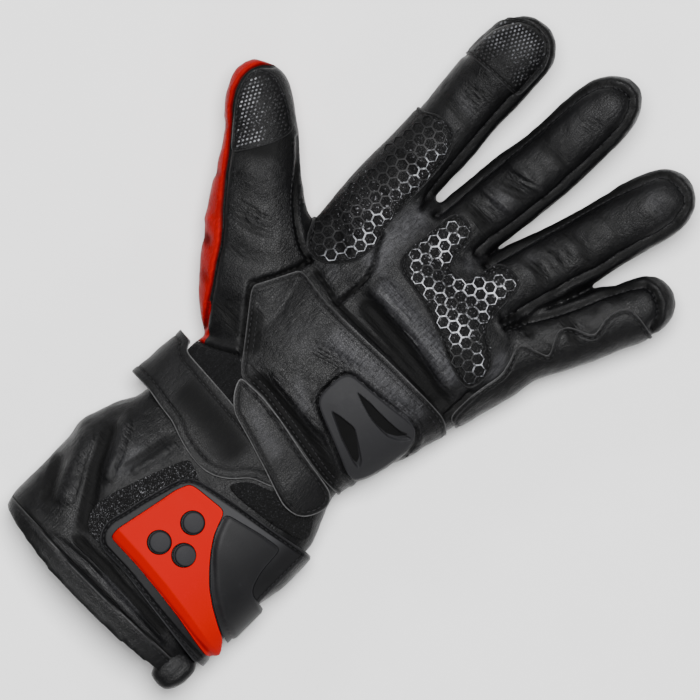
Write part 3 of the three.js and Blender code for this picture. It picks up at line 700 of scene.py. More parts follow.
def softened(outline, step=1.6, rounds=3):
    """An outline at an even step, with its corners rounded."""
    corners = np.array(outline, float)
    ring = np.vstack([corners, corners[:1]])
    length = np.concatenate([[0], np.cumsum(np.linalg.norm(np.diff(ring, axis=0), axis=1))])
    even = np.linspace(0, length[-1], round(length[-1] / step) + 1)[:-1]
    loop = np.stack([np.interp(even, length, ring[:, axis]) for axis in (0, 1)], axis=1)
    for _ in range(rounds):
        loop = loop / 2 + (np.roll(loop, 1, axis=0) + np.roll(loop, -1, axis=0)) / 4
    return loop


def prism(name, outline, low, high):
    """An upright block with an outline seen from above."""
    form = bmesh.new()
    ring = bmesh.ops.create_circle(form, cap_ends=True, segments=len(outline), radius=1)["verts"]
    for vertex, (x, y) in zip(ring, outline):
        vertex.co = (x, y, low)
    sides = bmesh.ops.extrude_face_region(form, geom=form.faces[:], use_keep_orig=True)
    tops = [part for part in sides["geom"] if isinstance(part, bmesh.types.BMVert)]
    bmesh.ops.translate(form, verts=tops, vec=(0, 0, high - low))
    bmesh.ops.triangulate(form, faces=form.faces[:])
    return new_piece(name, form)


def ramp(value, start, end):
    """From 0 at the start to 1 at the end, with soft ends."""
    t = np.clip((value - start) / (end - start), 0, 1)
    return t * t * (3 - 2 * t)


print("Helpers ready")

# %% [markdown]
# ## Skin of the whole glove
# The trunk and the five fingers are lofted, melted into one skin by a voxel remesh and smoothed, so that the
# crotches between the fingers come out soft, as padded leather does. The folds then move it along its normals.


# %% Skin of the whole glove
VOXEL = 1.08


def melted(name, distance, voxel, mouth=0):
    form = bmesh.new()
    add_limb(form, limb_points(TRUNK, distance, 120, 2.5, 3, mouth))
    for rows in FINGERS.values():
        add_limb(form, limb_points(rows, distance, 60, 2.2, 2.5))
    piece = new_piece(name, form)
    remesh = piece.modifiers.new("melt", "REMESH")
    remesh.mode = "VOXEL"
    remesh.voxel_size = voxel
    smooth = piece.modifiers.new("smooth", "SMOOTH")
    smooth.factor = 0.5
    smooth.iterations = 6
    return baked(piece)


skin = melted("skin", 0, VOXEL)
print("Skin:", len(skin.data.vertices), "points")


# %% Folds moved into the skin
def fold_height(places, rows):
    height = np.zeros(len(places))
    for line, width, amount in rows:
        apart, station = along_line(line, places)
        ends = station.max()
        fade = 0.2 + 0.8 * ramp(np.minimum(station, ends - station), 0, 7)
        height += amount * fade * np.exp(-((apart / width) ** 2))
    return height


for line, count, apart in WRINKLES:
    for number in range(count):
        moved = beside(line, (number - (count - 1) / 2) * apart)
        FOLDS.append((moved, min(0.85, apart / 2.6), (-0.62 - 0.12 * (number % 2)) * min(1, apart / 2.2)))
points = points_of(skin)
normals = normals_of(skin)
upward = ramp(normals[:, 2], -0.1, 0.5)
flat = points[:, :2]
height = upward * fold_height(flat, FOLDS)
for line in SEAM_GROOVES.values():
    apart, _ = along_line(line, flat)
    height += upward * (0.5 * np.exp(-((apart / 3.5) ** 2)) - 1.9 * np.exp(-((apart / 1.15) ** 2)))
for line in FINGER_SEAMS.values():
    apart, _ = along_line(line, flat)
    within, _ = depth_in(line, flat)
    near_front = np.exp(-((apart / 3.2) ** 2)) * ramp(within, -0.5, 0.5)
    rim_bulge = np.exp(-(((apart - 2) / 1.3) ** 2)) * ramp(-within, 0, 1)
    height += ramp(normals[:, 2], -0.3, 0.2) * (0.45 * rim_bulge - 0.9 * near_front)
    height -= 1.4 * ramp(normals[:, 2], -0.3, 0.2) * np.exp(-((apart / 1.05) ** 2))
height += ramp(normals[:, 2], -0.8, -0.2) * fold_height(flat, BACK_FOLDS)
in_gusset, _ = depth_in(softened(OUTLINES["wrist_gusset"]), flat)
height += 0.5 * upward * np.cos(flat[:, 0] * 2 * np.pi / 2.9) * ramp(in_gusset, 0, 1.5)
apart, _ = along_line(HEM_SEAM, flat)
height += upward * (0.5 * np.exp(-((apart / 3) ** 2)) - 0.9 * np.exp(-((apart / 0.9) ** 2)))
swell = np.array([noise.noise(Vector(point) / 16) for point in points])
ripple = np.array([noise.fractal(Vector(point) / 5.5, 0.8, 2.1, 2) for point in points])
height += (0.5 * swell + 0.2 * ripple) * (0.15 + 0.85 * ramp(flat[:, 1], -150, -138))
on_floor = ramp(points[:, 2], 0.2, 3)
points = points + normals * (height * on_floor)[:, None]
points[:, 2] = np.maximum(points[:, 2], 0)
set_points(skin, points)
print("Folds up to", round(float(height.max()), 2), "and down to", round(float(height.min()), 2), "mm")

# %% [markdown]
# ## Hollow of the glove
# A hand goes in, so the skin is a padded wall of 3.4 mm round a hollow that is open at the cuff's mouth. The
# lining shows there.

# %% Hollow
room = melted("room", -WALL, 3, mouth=14)
body = copy_of(skin, "wall")
body.data.materials.append(None)
body.data.materials.append(None)
room.data.materials.append(None)
room.data.materials.append(None)
room.data.polygons.foreach_set("material_index", np.ones(len(room.data.polygons), np.int32))
body = cut(body, room, "DIFFERENCE")
dropped(room)
print("Wall:", len(body.data.polygons), "faces")

# %% [markdown]
# ## The skin cut into its pieces
# The thumb's back is red and meets the black leather at a sloping seam. The shirred insert at the wrist, the
# cuff and its hem are cut the same way. A narrow gap at the bottom of each seam keeps the pieces apart.


# %% Cutting the skin
def slab_under(name, normal, level):
    """Everything under a plane given by its normal and its height at the middle."""
    form = bmesh.new()
    bmesh.ops.create_cube(form, size=1)
    bmesh.ops.scale(form, vec=(600, 600, 300), verts=form.verts[:])
    bmesh.ops.translate(form, vec=(0, 0, -150), verts=form.verts[:])
    turn = Vector((0, 0, 1)).rotation_difference(Vector(normal).normalized()).to_matrix()
    bmesh.ops.rotate(form, cent=(0, 0, 0), matrix=turn, verts=form.verts[:])
    bmesh.ops.translate(form, vec=(0, 0, level), verts=form.verts[:])
    return new_piece(name, form)


def grown(outline, distance):
    """An outline moved out by a distance."""
    loop = np.array(outline, float)
    before, after = np.roll(loop, 1, axis=0), np.roll(loop, -1, axis=0)
    along = after - before
    side = np.stack([along[:, 1], -along[:, 0]], axis=1)
    side /= np.linalg.norm(side, axis=1)[:, None]
    area = np.sum(loop[:, 0] * after[:, 1] - after[:, 0] * loop[:, 1])
    return loop + side * distance * np.sign(area)


def split(piece, name, *tools):
    """Cuts off what lies within all the tools as a new piece."""
    part = copy_of(piece, name)
    for tool in tools:
        part = cut(part, tool, "INTERSECT")
    return part


SEAM_NORMAL = (0.09 + 0.36 * 0.75, 0.36 * 0.66, 1)
SEAM_LEVEL = SEAM + 1.4 - 0.36 * 44 - 0.09 * 50
GAP = 0.12


def cutter_pair(make, distance=GAP):
    """The same tool twice: as it is for the part cut off, and grown for what stays."""
    return make(0), make(distance)


def mouth_side(left, right, shift):
    outline = [(-130, left + shift), (-130, -270), (130, -270), (130, right + shift)]
    return prism("mouth_side", outline, -30, 130)


cuff_cut, cuff_cut_grown = cutter_pair(lambda d: mouth_side(-47, -54, d))
hem_cut, hem_cut_grown = cutter_pair(lambda d: mouth_side(-150.4, -151, d))
gusset_cut, gusset_cut_grown = cutter_pair(
    lambda d: prism("gusset_zone", grown(softened(OUTLINES["wrist_gusset"]), d), SEAM - 8 - d, 100)
)


def thumb_tool(distance):
    """The thumb under its sloping seam, and all that lies on the far side of that seam seen from above."""
    beyond = SEAM_GROOVES["thumb_back"] + [(-56, -60), (-150, -60), (-150, 90), (-112, 90)]
    under = slab_under("under_seam", SEAM_NORMAL, SEAM_LEVEL + distance)
    under = cut(under, prism("beyond_seam", grown(softened(beyond, rounds=1), distance), -30, 110), "UNION")
    zone = prism("thumb_zone", grown(softened(OUTLINES["thumb"], rounds=1), distance), -30, 110)
    return cut(zone, under, "INTERSECT")


thumb_cut, thumb_cut_grown = cutter_pair(thumb_tool)
gusset = split(body, "gusset_skin", gusset_cut)
body = cut(body, gusset_cut_grown, "DIFFERENCE")
hem = split(body, "hem_skin", hem_cut)
cuff = cut(split(body, "cuff_skin", cuff_cut), hem_cut_grown, "DIFFERENCE")
body = cut(body, cuff_cut_grown, "DIFFERENCE")
thumb_back = split(body, "thumb_back_skin", thumb_cut)
hand = cut(body, thumb_cut_grown, "DIFFERENCE")
hand.name = "hand_skin"
for piece in (gusset, hem, cuff, thumb_back, hand):
    print(piece.name, len(piece.data.polygons), "faces")

# %% [markdown]
# ## Panels
# A panel takes the faces of the ground under its outline, raises them to its own thickness with a rounded
# edge, and is trimmed by an upright block with that outline. It follows every fold under it, as sewn leather
# does.


# %% Panels
def mark(piece, edge, seam, folds=()):
    """Keeps for the shader how far each point is from the piece's cut edge and from a seam, the height of the
    folds there, in millimetres, and how much painted light and shade the leather gets there."""
    flat = points_of(piece)[:, :2]
    fold = fold_height(flat, folds)
    rub = fold_height(flat, PAINTED_LIGHT_AND_SHADE)
    for name, values in (("edge", edge), ("seam", seam), ("fold", fold), ("rub", rub)):
        attribute = piece.data.attributes.new(name, "FLOAT", "POINT")
        attribute.data.foreach_set("value", values.astype(np.float32))


def seam_distance(piece):
    flat = points_of(piece)[:, :2]
    lines = [*SEAM_GROOVES.values(), *FINGER_SEAMS.values(), HEM_SEAM]
    return np.min([along_line(line, flat)[0] for line in lines], axis=0)


for piece in (gusset, hem, cuff, thumb_back, hand):
    piece_folds = BACK_FOLDS if piece is thumb_back else FOLDS
    mark(piece, np.full(len(piece.data.vertices), FAR), seam_distance(piece), piece_folds)
points = points_of(hem)
from_edge, _ = along_line(HEM_SEAM, points[:, :2])
from_edge[points[:, 2] < SEAM] = FAR
hem.data.attributes["edge"].data.foreach_set("value", from_edge.astype(np.float32))
hem.data.attributes["seam"].data.foreach_set("value", np.full(len(points), FAR, np.float32))


def panel(name, ground, outline, low, high, edge=0.8, relief=None, fine=1, floor=SEAM - 2, rounds=3, sewn=0):
    loop = softened(outline, rounds=rounds)
    margin = 3
    lowest, highest = loop.min(axis=0) - margin, loop.max(axis=0) + margin
    form = bmesh.new()
    form.from_mesh(ground.data)

    def away(face):
        x, y, z = face.calc_center_median()
        return not (lowest[0] < x < highest[0] and lowest[1] < y < highest[1] and z > floor - margin)

    bmesh.ops.delete(form, geom=[face for face in form.faces if away(face)], context="FACES")
    if fine:
        bmesh.ops.subdivide_edges(form, edges=form.edges[:], cuts=fine, use_grid_fill=True)
        bmesh.ops.smooth_vert(form, verts=form.verts[:], factor=0.5, use_axis_x=True, use_axis_y=True,
                              use_axis_z=True)
    form.normal_update()
    base = np.array([vertex.co for vertex in form.verts])
    out = np.array([vertex.normal for vertex in form.verts])
    depth, station = depth_in(loop, base[:, :2])
    inward = np.clip(depth / edge, 0, 1)
    thickness = high - low
    top = high - min(edge, 0.8 * thickness) * (1 - np.sqrt(1 - (1 - inward) ** 2))
    if relief is not None:
        top = top + relief(base, depth, station)
    if sewn:
        top = top - 0.35 * np.exp(-(((depth - sewn) / 0.55) ** 2))
    raised = base + out * top[:, None]
    sunk = base + out * low
    tops = form.verts.layers.float_vector.new("top")
    for vertex, place in zip(form.verts, raised):
        vertex[tops] = place
    grid = form.verts[:]
    extruded = bmesh.ops.extrude_face_region(form, geom=form.faces[:], use_keep_orig=True)["geom"]
    for part in extruded:
        if isinstance(part, bmesh.types.BMVert):
            part.co = part[tops]
    for vertex, place in zip(grid, sunk):
        vertex.co = place
    form.verts.layers.float_vector.remove(tops)
    piece = new_piece(name, form)
    block = prism("block", loop, floor, 130)
    piece = cut(piece, block, "INTERSECT")
    dropped(block)
    apart, _ = depth_in(loop, points_of(piece)[:, :2])
    seam = np.abs(np.abs(apart) - sewn) + 0.4 if sewn else np.full(len(apart), FAR)
    mark(piece, np.abs(apart), seam, FOLDS if ground is skin else ())
    print(name, len(piece.data.polygons), "faces")
    return piece


def slider_bed(base, depth, station):
    """The heel's leather sinks round the slider and swells where it is stitched down."""
    beyond, _ = depth_in(softened(OUTLINES["palm_slider"]), base[:, :2])
    return 0.35 * np.exp(-(((beyond + 2.3) / 0.9) ** 2)) - 0.7 * np.exp(-(((beyond + 0.3) / 0.6) ** 2))


heel_panel = panel("heel_leather", skin, OUTLINES["heel_panel"], 0.3, 1.6, relief=slider_bed, sewn=1.7)
side_panel = panel("side_leather", skin, OUTLINES["side_panel"], 0.3, 1.4, sewn=1.7)
grip_index = panel("grip_of_index", skin, OUTLINES["grip_index"], 0.3, 1.4, sewn=1.7)
grip_palm = panel("grip_of_palm", skin, OUTLINES["grip_palm"], 0.3, 1.4, sewn=1.7)
touch_index = panel("touch_of_index", skin, OUTLINES["touch_index"], 0.3, 1.1, edge=0.5, sewn=1.3)
touch_thumb = panel("touch_of_thumb", skin, OUTLINES["touch_thumb"], 0.3, 1.1, edge=0.5, floor=SEAM + 4)

# %% [markdown]
# ## Closures at the wrist and the cuff
# The strap, the tab and the flap lie on the smooth form of the trunk and not on its folds, because they are
# stiffer than the leather under them. The frame round the two plates has steps that run round it.


# %% Closures
def smooth_form(name, rows):
    form = bmesh.new()
    add_limb(form, limb_points(rows, 0, 190, 2.5, 1.3))
    return new_piece(name, form)


def pile(base, depth, station):
    """The loops of a fastening strip, as a rough nap."""
    return np.array([0.5 * noise.noise(Vector(place) / 0.9) for place in base])


def steps(base, depth, station):
    """Steps of the moulded rim, which run round it: an outer lip, a sewing channel, and a flat band inside."""
    channel = -1.1 * np.exp(-(((depth - 1.5) / 0.5) ** 2))
    return channel + 0.3 * ramp(depth, 2, 2.4)


def recesses(base, depth, station):
    """The two recesses in the top of the slider."""
    sunk = np.zeros(len(base))
    for name in ("slider_crescent", "slider_facet"):
        inner, _ = depth_in(softened(OUTLINES[name], step=1, rounds=1), base[:, :2])
        sunk -= 1.4 * ramp(inner, 0, 0.7)
    return sunk + 0.5 * ramp(depth, 0, 9)


def bevel(width, drop):
    """A flat bevel round a plate."""
    return lambda base, depth, station: -drop * (1 - np.clip(depth / width, 0, 1))


INLAY_LINE = [(-18, -126.7), (-11, -127), (0, -127.5), (15, -129), (30, -131.5), (50, -136.5), (60, -139)]


def inlay_relief(base, depth, station):
    """The red plate: a narrow bevel all round, and a wide facet along the bottom."""
    apart, _ = along_line(INLAY_LINE, base[:, :2])
    line = np.array(INLAY_LINE)
    below = base[:, 1] < np.interp(base[:, 0], line[:, 0], line[:, 1])
    facet = np.where(below, np.minimum(apart * 0.7, 2.9), 0)
    return -0.5 * (1 - np.clip(depth / 0.9, 0, 1)) - facet


def slack(base, depth, station):
    """Slow waves in the leather of the flap."""
    return np.array([0.8 * noise.noise(Vector(place) / 12) for place in base])


trunk_form = smooth_form("trunk_form", TRUNK)
strap_form = smooth_form("strap_form", STRAP)
wrist_pad = panel("wrist_pile", skin, OUTLINES["wrist_loop_pad"], 0.3, 1.7, relief=pile)
cuff_pad = panel("cuff_pile", skin, OUTLINES["cuff_loop_pad"], 0.3, 1.7, relief=pile)
strap = panel("strap_leather", strap_form, OUTLINES["wrist_strap"], -2, 0, floor=SEAM - 6, edge=0.7, sewn=4,
              relief=slack)
tab = panel("tab_leather", trunk_form, OUTLINES["wrist_tab"], 3.1, 5.3, edge=0.8, sewn=2, relief=slack)
slider = panel("slider_plate", trunk_form, OUTLINES["palm_slider"], 1.8, 4.3, edge=1.1, relief=recesses,
               fine=3)
flap = panel("flap_leather", trunk_form, OUTLINES["flap"], 2, 4, floor=SEAM - 14, relief=slack, fine=0)
rim = panel("flap_rim", trunk_form, OUTLINES["flap_frame"], 4.3, 7, edge=0.9, relief=steps, fine=3)
grey_plate = panel("grey_plate", trunk_form, OUTLINES["flap_shell"], 4.3, 7.8, edge=0.5,
                   relief=bevel(1.6, 0.7), rounds=2)
red_plate = panel("red_plate", trunk_form, OUTLINES["flap_inlay"], 4.3, 8.6, edge=0.5, relief=inlay_relief,
                  fine=2, rounds=1)
PLATE_GAP = 0.3
for outline, rounds in (("flap_inlay", 1), ("flap_shell", 2)):
    block = prism("block", grown(softened(OUTLINES[outline], rounds=rounds), PLATE_GAP), 0, 130)
    rim = cut(rim, block, "DIFFERENCE")
    dropped(block)
points = points_of(rim)
from_rim, _ = depth_in(softened(OUTLINES["flap_frame"]), points[:, :2])
# painted shade: the rim's sewing channel is stored as a seam, which the shader paints black
rim.data.attributes["seam"].data.foreach_set("value", (2 * np.abs(from_rim - 1.5)).astype(np.float32))
# painted highlight: the flat band inside the channel, lighter on its upper side, goes into the map of painted
# light and shade
upper_side = ramp(points[:, 1], -98, -88)
lit = ramp(from_rim, 2.1, 2.5) * (0.3 + 0.7 * upper_side) * ramp(points[:, 1], -134, -127)
lit *= ramp(44 - points[:, 0], 0, 12)
rim.data.attributes["rub"].data.foreach_set("value", lit.astype(np.float32))
block = prism("block", grown(softened(OUTLINES["flap_inlay"], rounds=1), PLATE_GAP), 0, 130)
grey_plate = cut(grey_plate, block, "DIFFERENCE")
dropped(block)
# painted shade: the floors of the slider's two recesses are stored as a seam, which the shader paints black
sunk = recesses(points_of(slider), np.zeros(len(points_of(slider))), None)
slider.data.attributes["seam"].data.foreach_set("value", np.clip(1.4 + sunk, 0, 1.4).astype(np.float32))

# %% [markdown]
# ## Studs and the fold at the mouth
# Three round studs stand in holes in the red plate. Under the flap's end the cuff is bunched into one fat fold.


# %% Studs and the fold
def surface_of(piece):
    form = bmesh.new()
    form.from_mesh(piece.data)
    tree = BVHTree.FromBMesh(form)
    form.free()
    return tree


def drop_on(tree, x, y):
    """Where a plumb line from above meets a surface, and its direction there."""
    place, normal, _, _ = tree.ray_cast(Vector((x, y, 150)), Vector((0, 0, -1)))
    return place, normal


STUD_RADIUS = 4.8
HOLE_RADIUS = 5.3
red_surface = surface_of(trunk_form)
studs = []
for number, (x, y) in enumerate(STUDS, 1):
    place, normal = drop_on(red_surface, x, y)
    hole = [(x + HOLE_RADIUS * math.cos(turn), y + HOLE_RADIUS * math.sin(turn)) for turn in
            np.linspace(0, 2 * math.pi, 56, endpoint=False)]
    block = prism("block", hole, 0, 130)
    red_plate = cut(red_plate, block, "DIFFERENCE")
    dropped(block)
    form = bmesh.new()
    wide = HOLE_RADIUS - 0.08
    bmesh.ops.create_cone(form, cap_ends=True, segments=48, radius1=wide, radius2=wide, depth=1.6)
    bmesh.ops.translate(form, vec=(0, 0, -1.15), verts=form.verts[:])
    lid = [face for face in form.faces if face.normal.z > 0.9 or face.calc_center_median().z > -0.4]
    bmesh.ops.inset_individual(form, faces=lid, thickness=wide - STUD_RADIUS)
    raised = bmesh.ops.extrude_face_region(form, geom=lid)["geom"]
    tops = [part for part in raised if isinstance(part, bmesh.types.BMVert)]
    bmesh.ops.translate(form, vec=(0, 0, 2.3), verts=tops)
    bmesh.ops.delete(form, geom=[face for face in lid if face.is_valid], context="FACES_ONLY")
    top = [edge for edge in form.edges if all(vertex.co.z > 0 for vertex in edge.verts)]
    bmesh.ops.bevel(form, geom=top, offset=0.8, offset_type="OFFSET", segments=4, profile=0.5, affect="EDGES",
                    material=-1)
    turn = Vector((0, 0, 1)).rotation_difference(normal).to_matrix()
    bmesh.ops.rotate(form, cent=(0, 0, 0), matrix=turn, verts=form.verts[:])
    bmesh.ops.translate(form, vec=place + normal * 6.75, verts=form.verts[:])
    studs.append(new_piece(f"round_stud_{number}", form))

FOLD_CENTRE = (43.5, -153.5, 36)
FOLD_HALF = (8.4, 9.6, 6.6)
FOLD_SQUARENESS = 3
form = bmesh.new()
bmesh.ops.create_icosphere(form, subdivisions=5, radius=1)
fold = new_piece("fold_leather", form)
ball = points_of(fold)
blunt = ball / (np.sum(np.abs(ball) ** FOLD_SQUARENESS, axis=1) ** (1 / FOLD_SQUARENESS))[:, None]
narrowing = 1 - 0.22 * ramp(-blunt[:, 1], 0, 1)
blunt[:, 0] *= narrowing
set_points(fold, blunt * FOLD_HALF + FOLD_CENTRE)
points = points_of(fold)
normals = normals_of(fold)
crease = -0.5 * np.exp(-(((points[:, 0] - 39 - 0.25 * (points[:, 1] + 153)) / 1.3) ** 2))
spots = [Vector((x / 5, y / 12, z / 9)) for x, y, z in points]
wrinkle = np.array([noise.fractal(spot, 0.8, 2, 2) for spot in spots])
set_points(fold, points + normals * (0.4 * wrinkle + crease)[:, None])
mark(fold, np.full(len(points), FAR), np.full(len(points), FAR))
# painted shade: each stud's foot, outside its top, is marked as a seam so that it is painted black in the gap of
# its hole
for stud, (x, y) in zip(studs, STUDS):
    from_axis = np.hypot(*(points_of(stud)[:, :2] - (x, y)).T)
    mark(stud, np.full(len(from_axis), FAR), np.where(from_axis > STUD_RADIUS + 0.2, 0, FAR))
print("Studs and fold made")

# %% [markdown]
# ## Hexagon grips
# The grips carry silicone hexagons, printed as raised rings, and the two patches that work a touch screen
# carry small round dots. One ring and one dot are made once and set out in staggered rows, and each copy is
# bent onto the leather under it.

# %% Hexagon grips
HEX = 5.1
HEX_LINE = 0.32
HEX_TURN = math.radians(21.4)
DOT_STEP = 1.9


def repeated(name, template, frames):
    """One mesh of a small form repeated at each frame, an array of 3 by 4 matrices."""
    template.verts.index_update()
    corners = np.array([vertex.co for vertex in template.verts])
    faces = [[vertex.index for vertex in face.verts] for face in template.faces]
    template.free()
    frames = np.array(frames)
    places = np.einsum("nij,kj->nki", frames[:, :, :3], corners) + frames[:, None, :, 3]
    joined = [[i + n * len(corners) for i in face] for n in range(len(frames)) for face in faces]
    mesh = bpy.data.meshes.new(name)
    mesh.from_pydata(places.reshape(-1, 3).tolist(), [], joined)
    piece = bpy.data.objects.new(name, mesh)
    scene.collection.objects.link(piece)
    return piece


def rows_of_places(outline, step, margin, turn=0.0):
    """Places in staggered rows inside an outline, the rows turned by an angle."""
    loop = softened(outline)
    spin = np.array([(math.cos(turn), math.sin(turn)), (-math.sin(turn), math.cos(turn))])
    turned = loop @ spin.T
    low, high = turned.min(axis=0), turned.max(axis=0)
    places = []
    for row, y in enumerate(np.arange(low[1], high[1], step * math.sqrt(3) / 2)):
        start = low[0] + (step / 2 if row % 2 else 0)
        places += [(x, y) for x in np.arange(start, high[0], step)]
    places = np.array(places) @ spin
    depth, _ = depth_in(loop, places)
    return places[depth > margin]


def laid_out(name, template, places, ground, reach, turn=0.0):
    """Repeats a flat form at the places and bends each copy onto the ground."""
    tree = surface_of(ground)
    c, s = math.cos(turn), math.sin(turn)
    around = [(reach * math.cos(way), reach * math.sin(way)) for way in np.arange(12) * math.pi / 6 + turn]
    kept = []
    for x, y in places:
        hits = [drop_on(tree, x + dx, y + dy) for dx, dy in around]
        if all(place is not None and normal.z > 0.3 for place, normal in hits):
            kept.append([[c, -s, 0, x], [s, c, 0, y], [0, 0, 1, 0]])
    piece = repeated(name, template, kept)
    for vertex in piece.data.vertices:
        place, normal = drop_on(tree, vertex.co.x, vertex.co.y)
        if place is not None:
            vertex.co = place + normal * vertex.co.z
    print(name, len(kept), "copies")
    return piece


def hexagon_ring():
    ring = bmesh.new()
    bmesh.ops.create_circle(ring, cap_ends=True, segments=6, radius=HEX / math.sqrt(3))
    middle = ring.faces[:]
    band = bmesh.ops.inset_individual(ring, faces=middle, thickness=HEX_LINE, use_even_offset=True)["faces"]
    bmesh.ops.delete(ring, geom=middle, context="FACES_ONLY")
    bmesh.ops.translate(ring, verts=ring.verts[:], vec=(0, 0, -0.3))
    raised = bmesh.ops.extrude_face_region(ring, geom=band, use_keep_orig=True)["geom"]
    tops = [part for part in raised if isinstance(part, bmesh.types.BMVert)]
    bmesh.ops.translate(ring, verts=tops, vec=(0, 0, 0.6))
    bmesh.ops.recalc_face_normals(ring, faces=ring.faces[:])
    return ring


def dot():
    bead = bmesh.new()
    bmesh.ops.create_uvsphere(bead, u_segments=8, v_segments=5, radius=0.55)
    bmesh.ops.scale(bead, verts=bead.verts[:], vec=(0.8, 1.2, 0.7))
    return bead


def hexagons(name, ground, outline):
    places = rows_of_places(outline, HEX, 2.7, HEX_TURN)
    return laid_out(name, hexagon_ring(), places, ground, HEX / math.sqrt(3), HEX_TURN)


def dots(name, ground, outline):
    places = rows_of_places(outline, DOT_STEP, 2.4)
    return laid_out(name, dot(), places, ground, 0.7)


hexes_index = hexagons("hexagons_of_index", grip_index, OUTLINES["grip_index"])
hexes_palm = hexagons("hexagons_of_palm", grip_palm, OUTLINES["grip_palm"])
dots_index = dots("dots_of_index", touch_index, OUTLINES["touch_index"])
dots_thumb = dots("dots_of_thumb", touch_thumb, OUTLINES["touch_thumb"])

# %% [markdown]
# ## Stitches
# Thread shows as short rounded stitches along each seam. One stitch is repeated along the lines, laid on the
# surface under it and sunk a little. All of them are one joined mesh, as there are far too many for objects.

# %% Stitches
STITCH = 1.8
STITCH_STEP = 2.5
STITCH_RADIUS = 0.27


def stitches(name, rows):
    """One joined mesh of stitches. A row is a surface, a line seen from above, and whether the line closes."""
    frames = []
    trees = {}
    for ground, line, closed in rows:
        if ground.name not in trees:
            trees[ground.name] = surface_of(ground)
        tree = trees[ground.name]
        line = np.array(line, float)
        if closed:
            line = np.vstack([line, line[:1]])
        length = np.concatenate([[0], np.cumsum(np.linalg.norm(np.diff(line, axis=0), axis=1))])
        for station in np.arange(STITCH_STEP / 2, length[-1] - STITCH_STEP / 2, STITCH_STEP):
            ends = [station - STITCH / 2, station + STITCH / 2]
            spots = [[np.interp(end, length, line[:, axis]) for axis in (0, 1)] for end in ends]
            hits = [drop_on(tree, *spot) for spot in spots]
            if any(place is None or normal.z < 0.25 for place, normal in hits):
                continue
            start, finish = (place + normal * 0.1 for place, normal in hits)
            reach = finish - start
            if reach.length > STITCH * 1.8:
                continue
            turn = Vector((0, 0, 1)).rotation_difference(reach).to_matrix()
            turn = turn @ Matrix.Diagonal((1, 1, reach.length / STITCH))
            middle = (start + finish) / 2
            frames.append([[*turn[axis], middle[axis]] for axis in range(3)])
    bead = bmesh.new()
    bmesh.ops.create_uvsphere(bead, u_segments=6, v_segments=4, radius=STITCH_RADIUS)
    bmesh.ops.scale(bead, vec=(1, 1, STITCH / 2 / STITCH_RADIUS), verts=bead.verts[:])
    print(name, len(frames), "stitches")
    return repeated(name, bead, frames)


def rim_row(name, distance=1.7):
    return grown(softened(OUTLINES[name]), -distance)


hand_rows = [
    (hand, beside(SEAM_GROOVES["thumb_front"], 2), False),
    (hand, beside(SEAM_GROOVES["thumb_front"], -2), False),
    (hand, beside(SEAM_GROOVES["thumb_root"], 2), False),
    (hand, beside(SEAM_GROOVES["palm_centre"], 1.5), False),
    (hand, beside(SEAM_GROOVES["palm_centre"], -1.5), False),
    (hand, beside(SEAM_GROOVES["thumb_back"], -1.8), False),
]
panel_rows = [
    (heel_panel, rim_row("heel_panel"), True),
    (heel_panel, rim_row("heel_panel", 4.2), True),
    (side_panel, rim_row("side_panel"), True),
    (grip_index, rim_row("grip_index", 1.7), True),
    (grip_palm, rim_row("grip_palm", 1.7), True),
    (touch_index, rim_row("touch_index", 1.3), True),
    (touch_thumb, rim_row("touch_thumb", 1.3), True),
    (strap, rim_row("wrist_strap", 4), True),
    (tab, rim_row("wrist_tab", 2), True),
    (rim, rim_row("flap_frame", 1.5), True),
    (heel_panel, grown(softened(OUTLINES["palm_slider"]), 2.4), True),
]
front_rows = [(hand, beside(line, -1.6), False) for line in FINGER_SEAMS.values()]
hem_rows = [(hem, beside(HEM_SEAM, -1.7), False)]
thread = stitches("thread", hand_rows + panel_rows + front_rows + hem_rows)
no_edge = np.full(len(thread.data.vertices), FAR)
mark(thread, no_edge, no_edge)

# %% [markdown]
# ## Materials
# Each material is drawn by the shader from the place on the object alone. A small class wraps a socket, so that
# the shader's arithmetic reads as plain sums.


# %% Shader arithmetic
class Wire:
    """A shader value that can be added, subtracted, multiplied and divided."""

    def __init__(self, tree, socket):
        self.tree = tree
        self.socket = socket

    def node(self, kind, inputs=None, output=0, **settings):
        node = self.tree.nodes.new(kind)
        for name, value in settings.items():
            setattr(node, name, value)
        for name, value in (inputs or {}).items():
            if isinstance(value, Wire):
                self.tree.links.new(value.socket, node.inputs[name])
            else:
                node.inputs[name].default_value = value
        return Wire(self.tree, node.outputs[output])

    def math(self, operation, first, second=0.0, third=0.0, clamp=False):
        values = {0: first, 1: second, 2: third}
        return self.node("ShaderNodeMath", values, operation=operation, use_clamp=clamp)

    def __add__(self, other):
        return self.math("ADD", self, other)

    def __radd__(self, other):
        return self.math("ADD", other, self)

    def __sub__(self, other):
        return self.math("SUBTRACT", self, other)

    def __rsub__(self, other):
        return self.math("SUBTRACT", other, self)

    def __mul__(self, other):
        return self.math("MULTIPLY", self, other)

    def __rmul__(self, other):
        return self.math("MULTIPLY", other, self)

    def __truediv__(self, other):
        return self.math("DIVIDE", self, other)

    def __rtruediv__(self, other):
        return self.math("DIVIDE", other, self)

    def between(self, low, high):
        """0 below low, 1 above high."""
        values = {"Value": self, "From Min": low, "From Max": high}
        return self.node("ShaderNodeMapRange", values, interpolation_type="SMOOTHSTEP")

    def mix(self, first, second):
        """The first colour where this is 0, the second where it is 1."""
        values = {"Factor": self, 6: first, 7: second}
        return self.node("ShaderNodeMix", values, output=2, data_type="RGBA")


def colour(red, green, blue):
    return (red, green, blue, 1)


def new_material(name):
    material = bpy.data.materials.new(name)
    material.use_nodes = True
    tree = material.node_tree
    place = tree.nodes.new("ShaderNodeTexCoord").outputs["Object"]
    return material, tree.nodes["Principled BSDF"], Wire(tree, place)


def attach(wire, shader, name):
    wire.tree.links.new(wire.socket, shader.inputs[name])


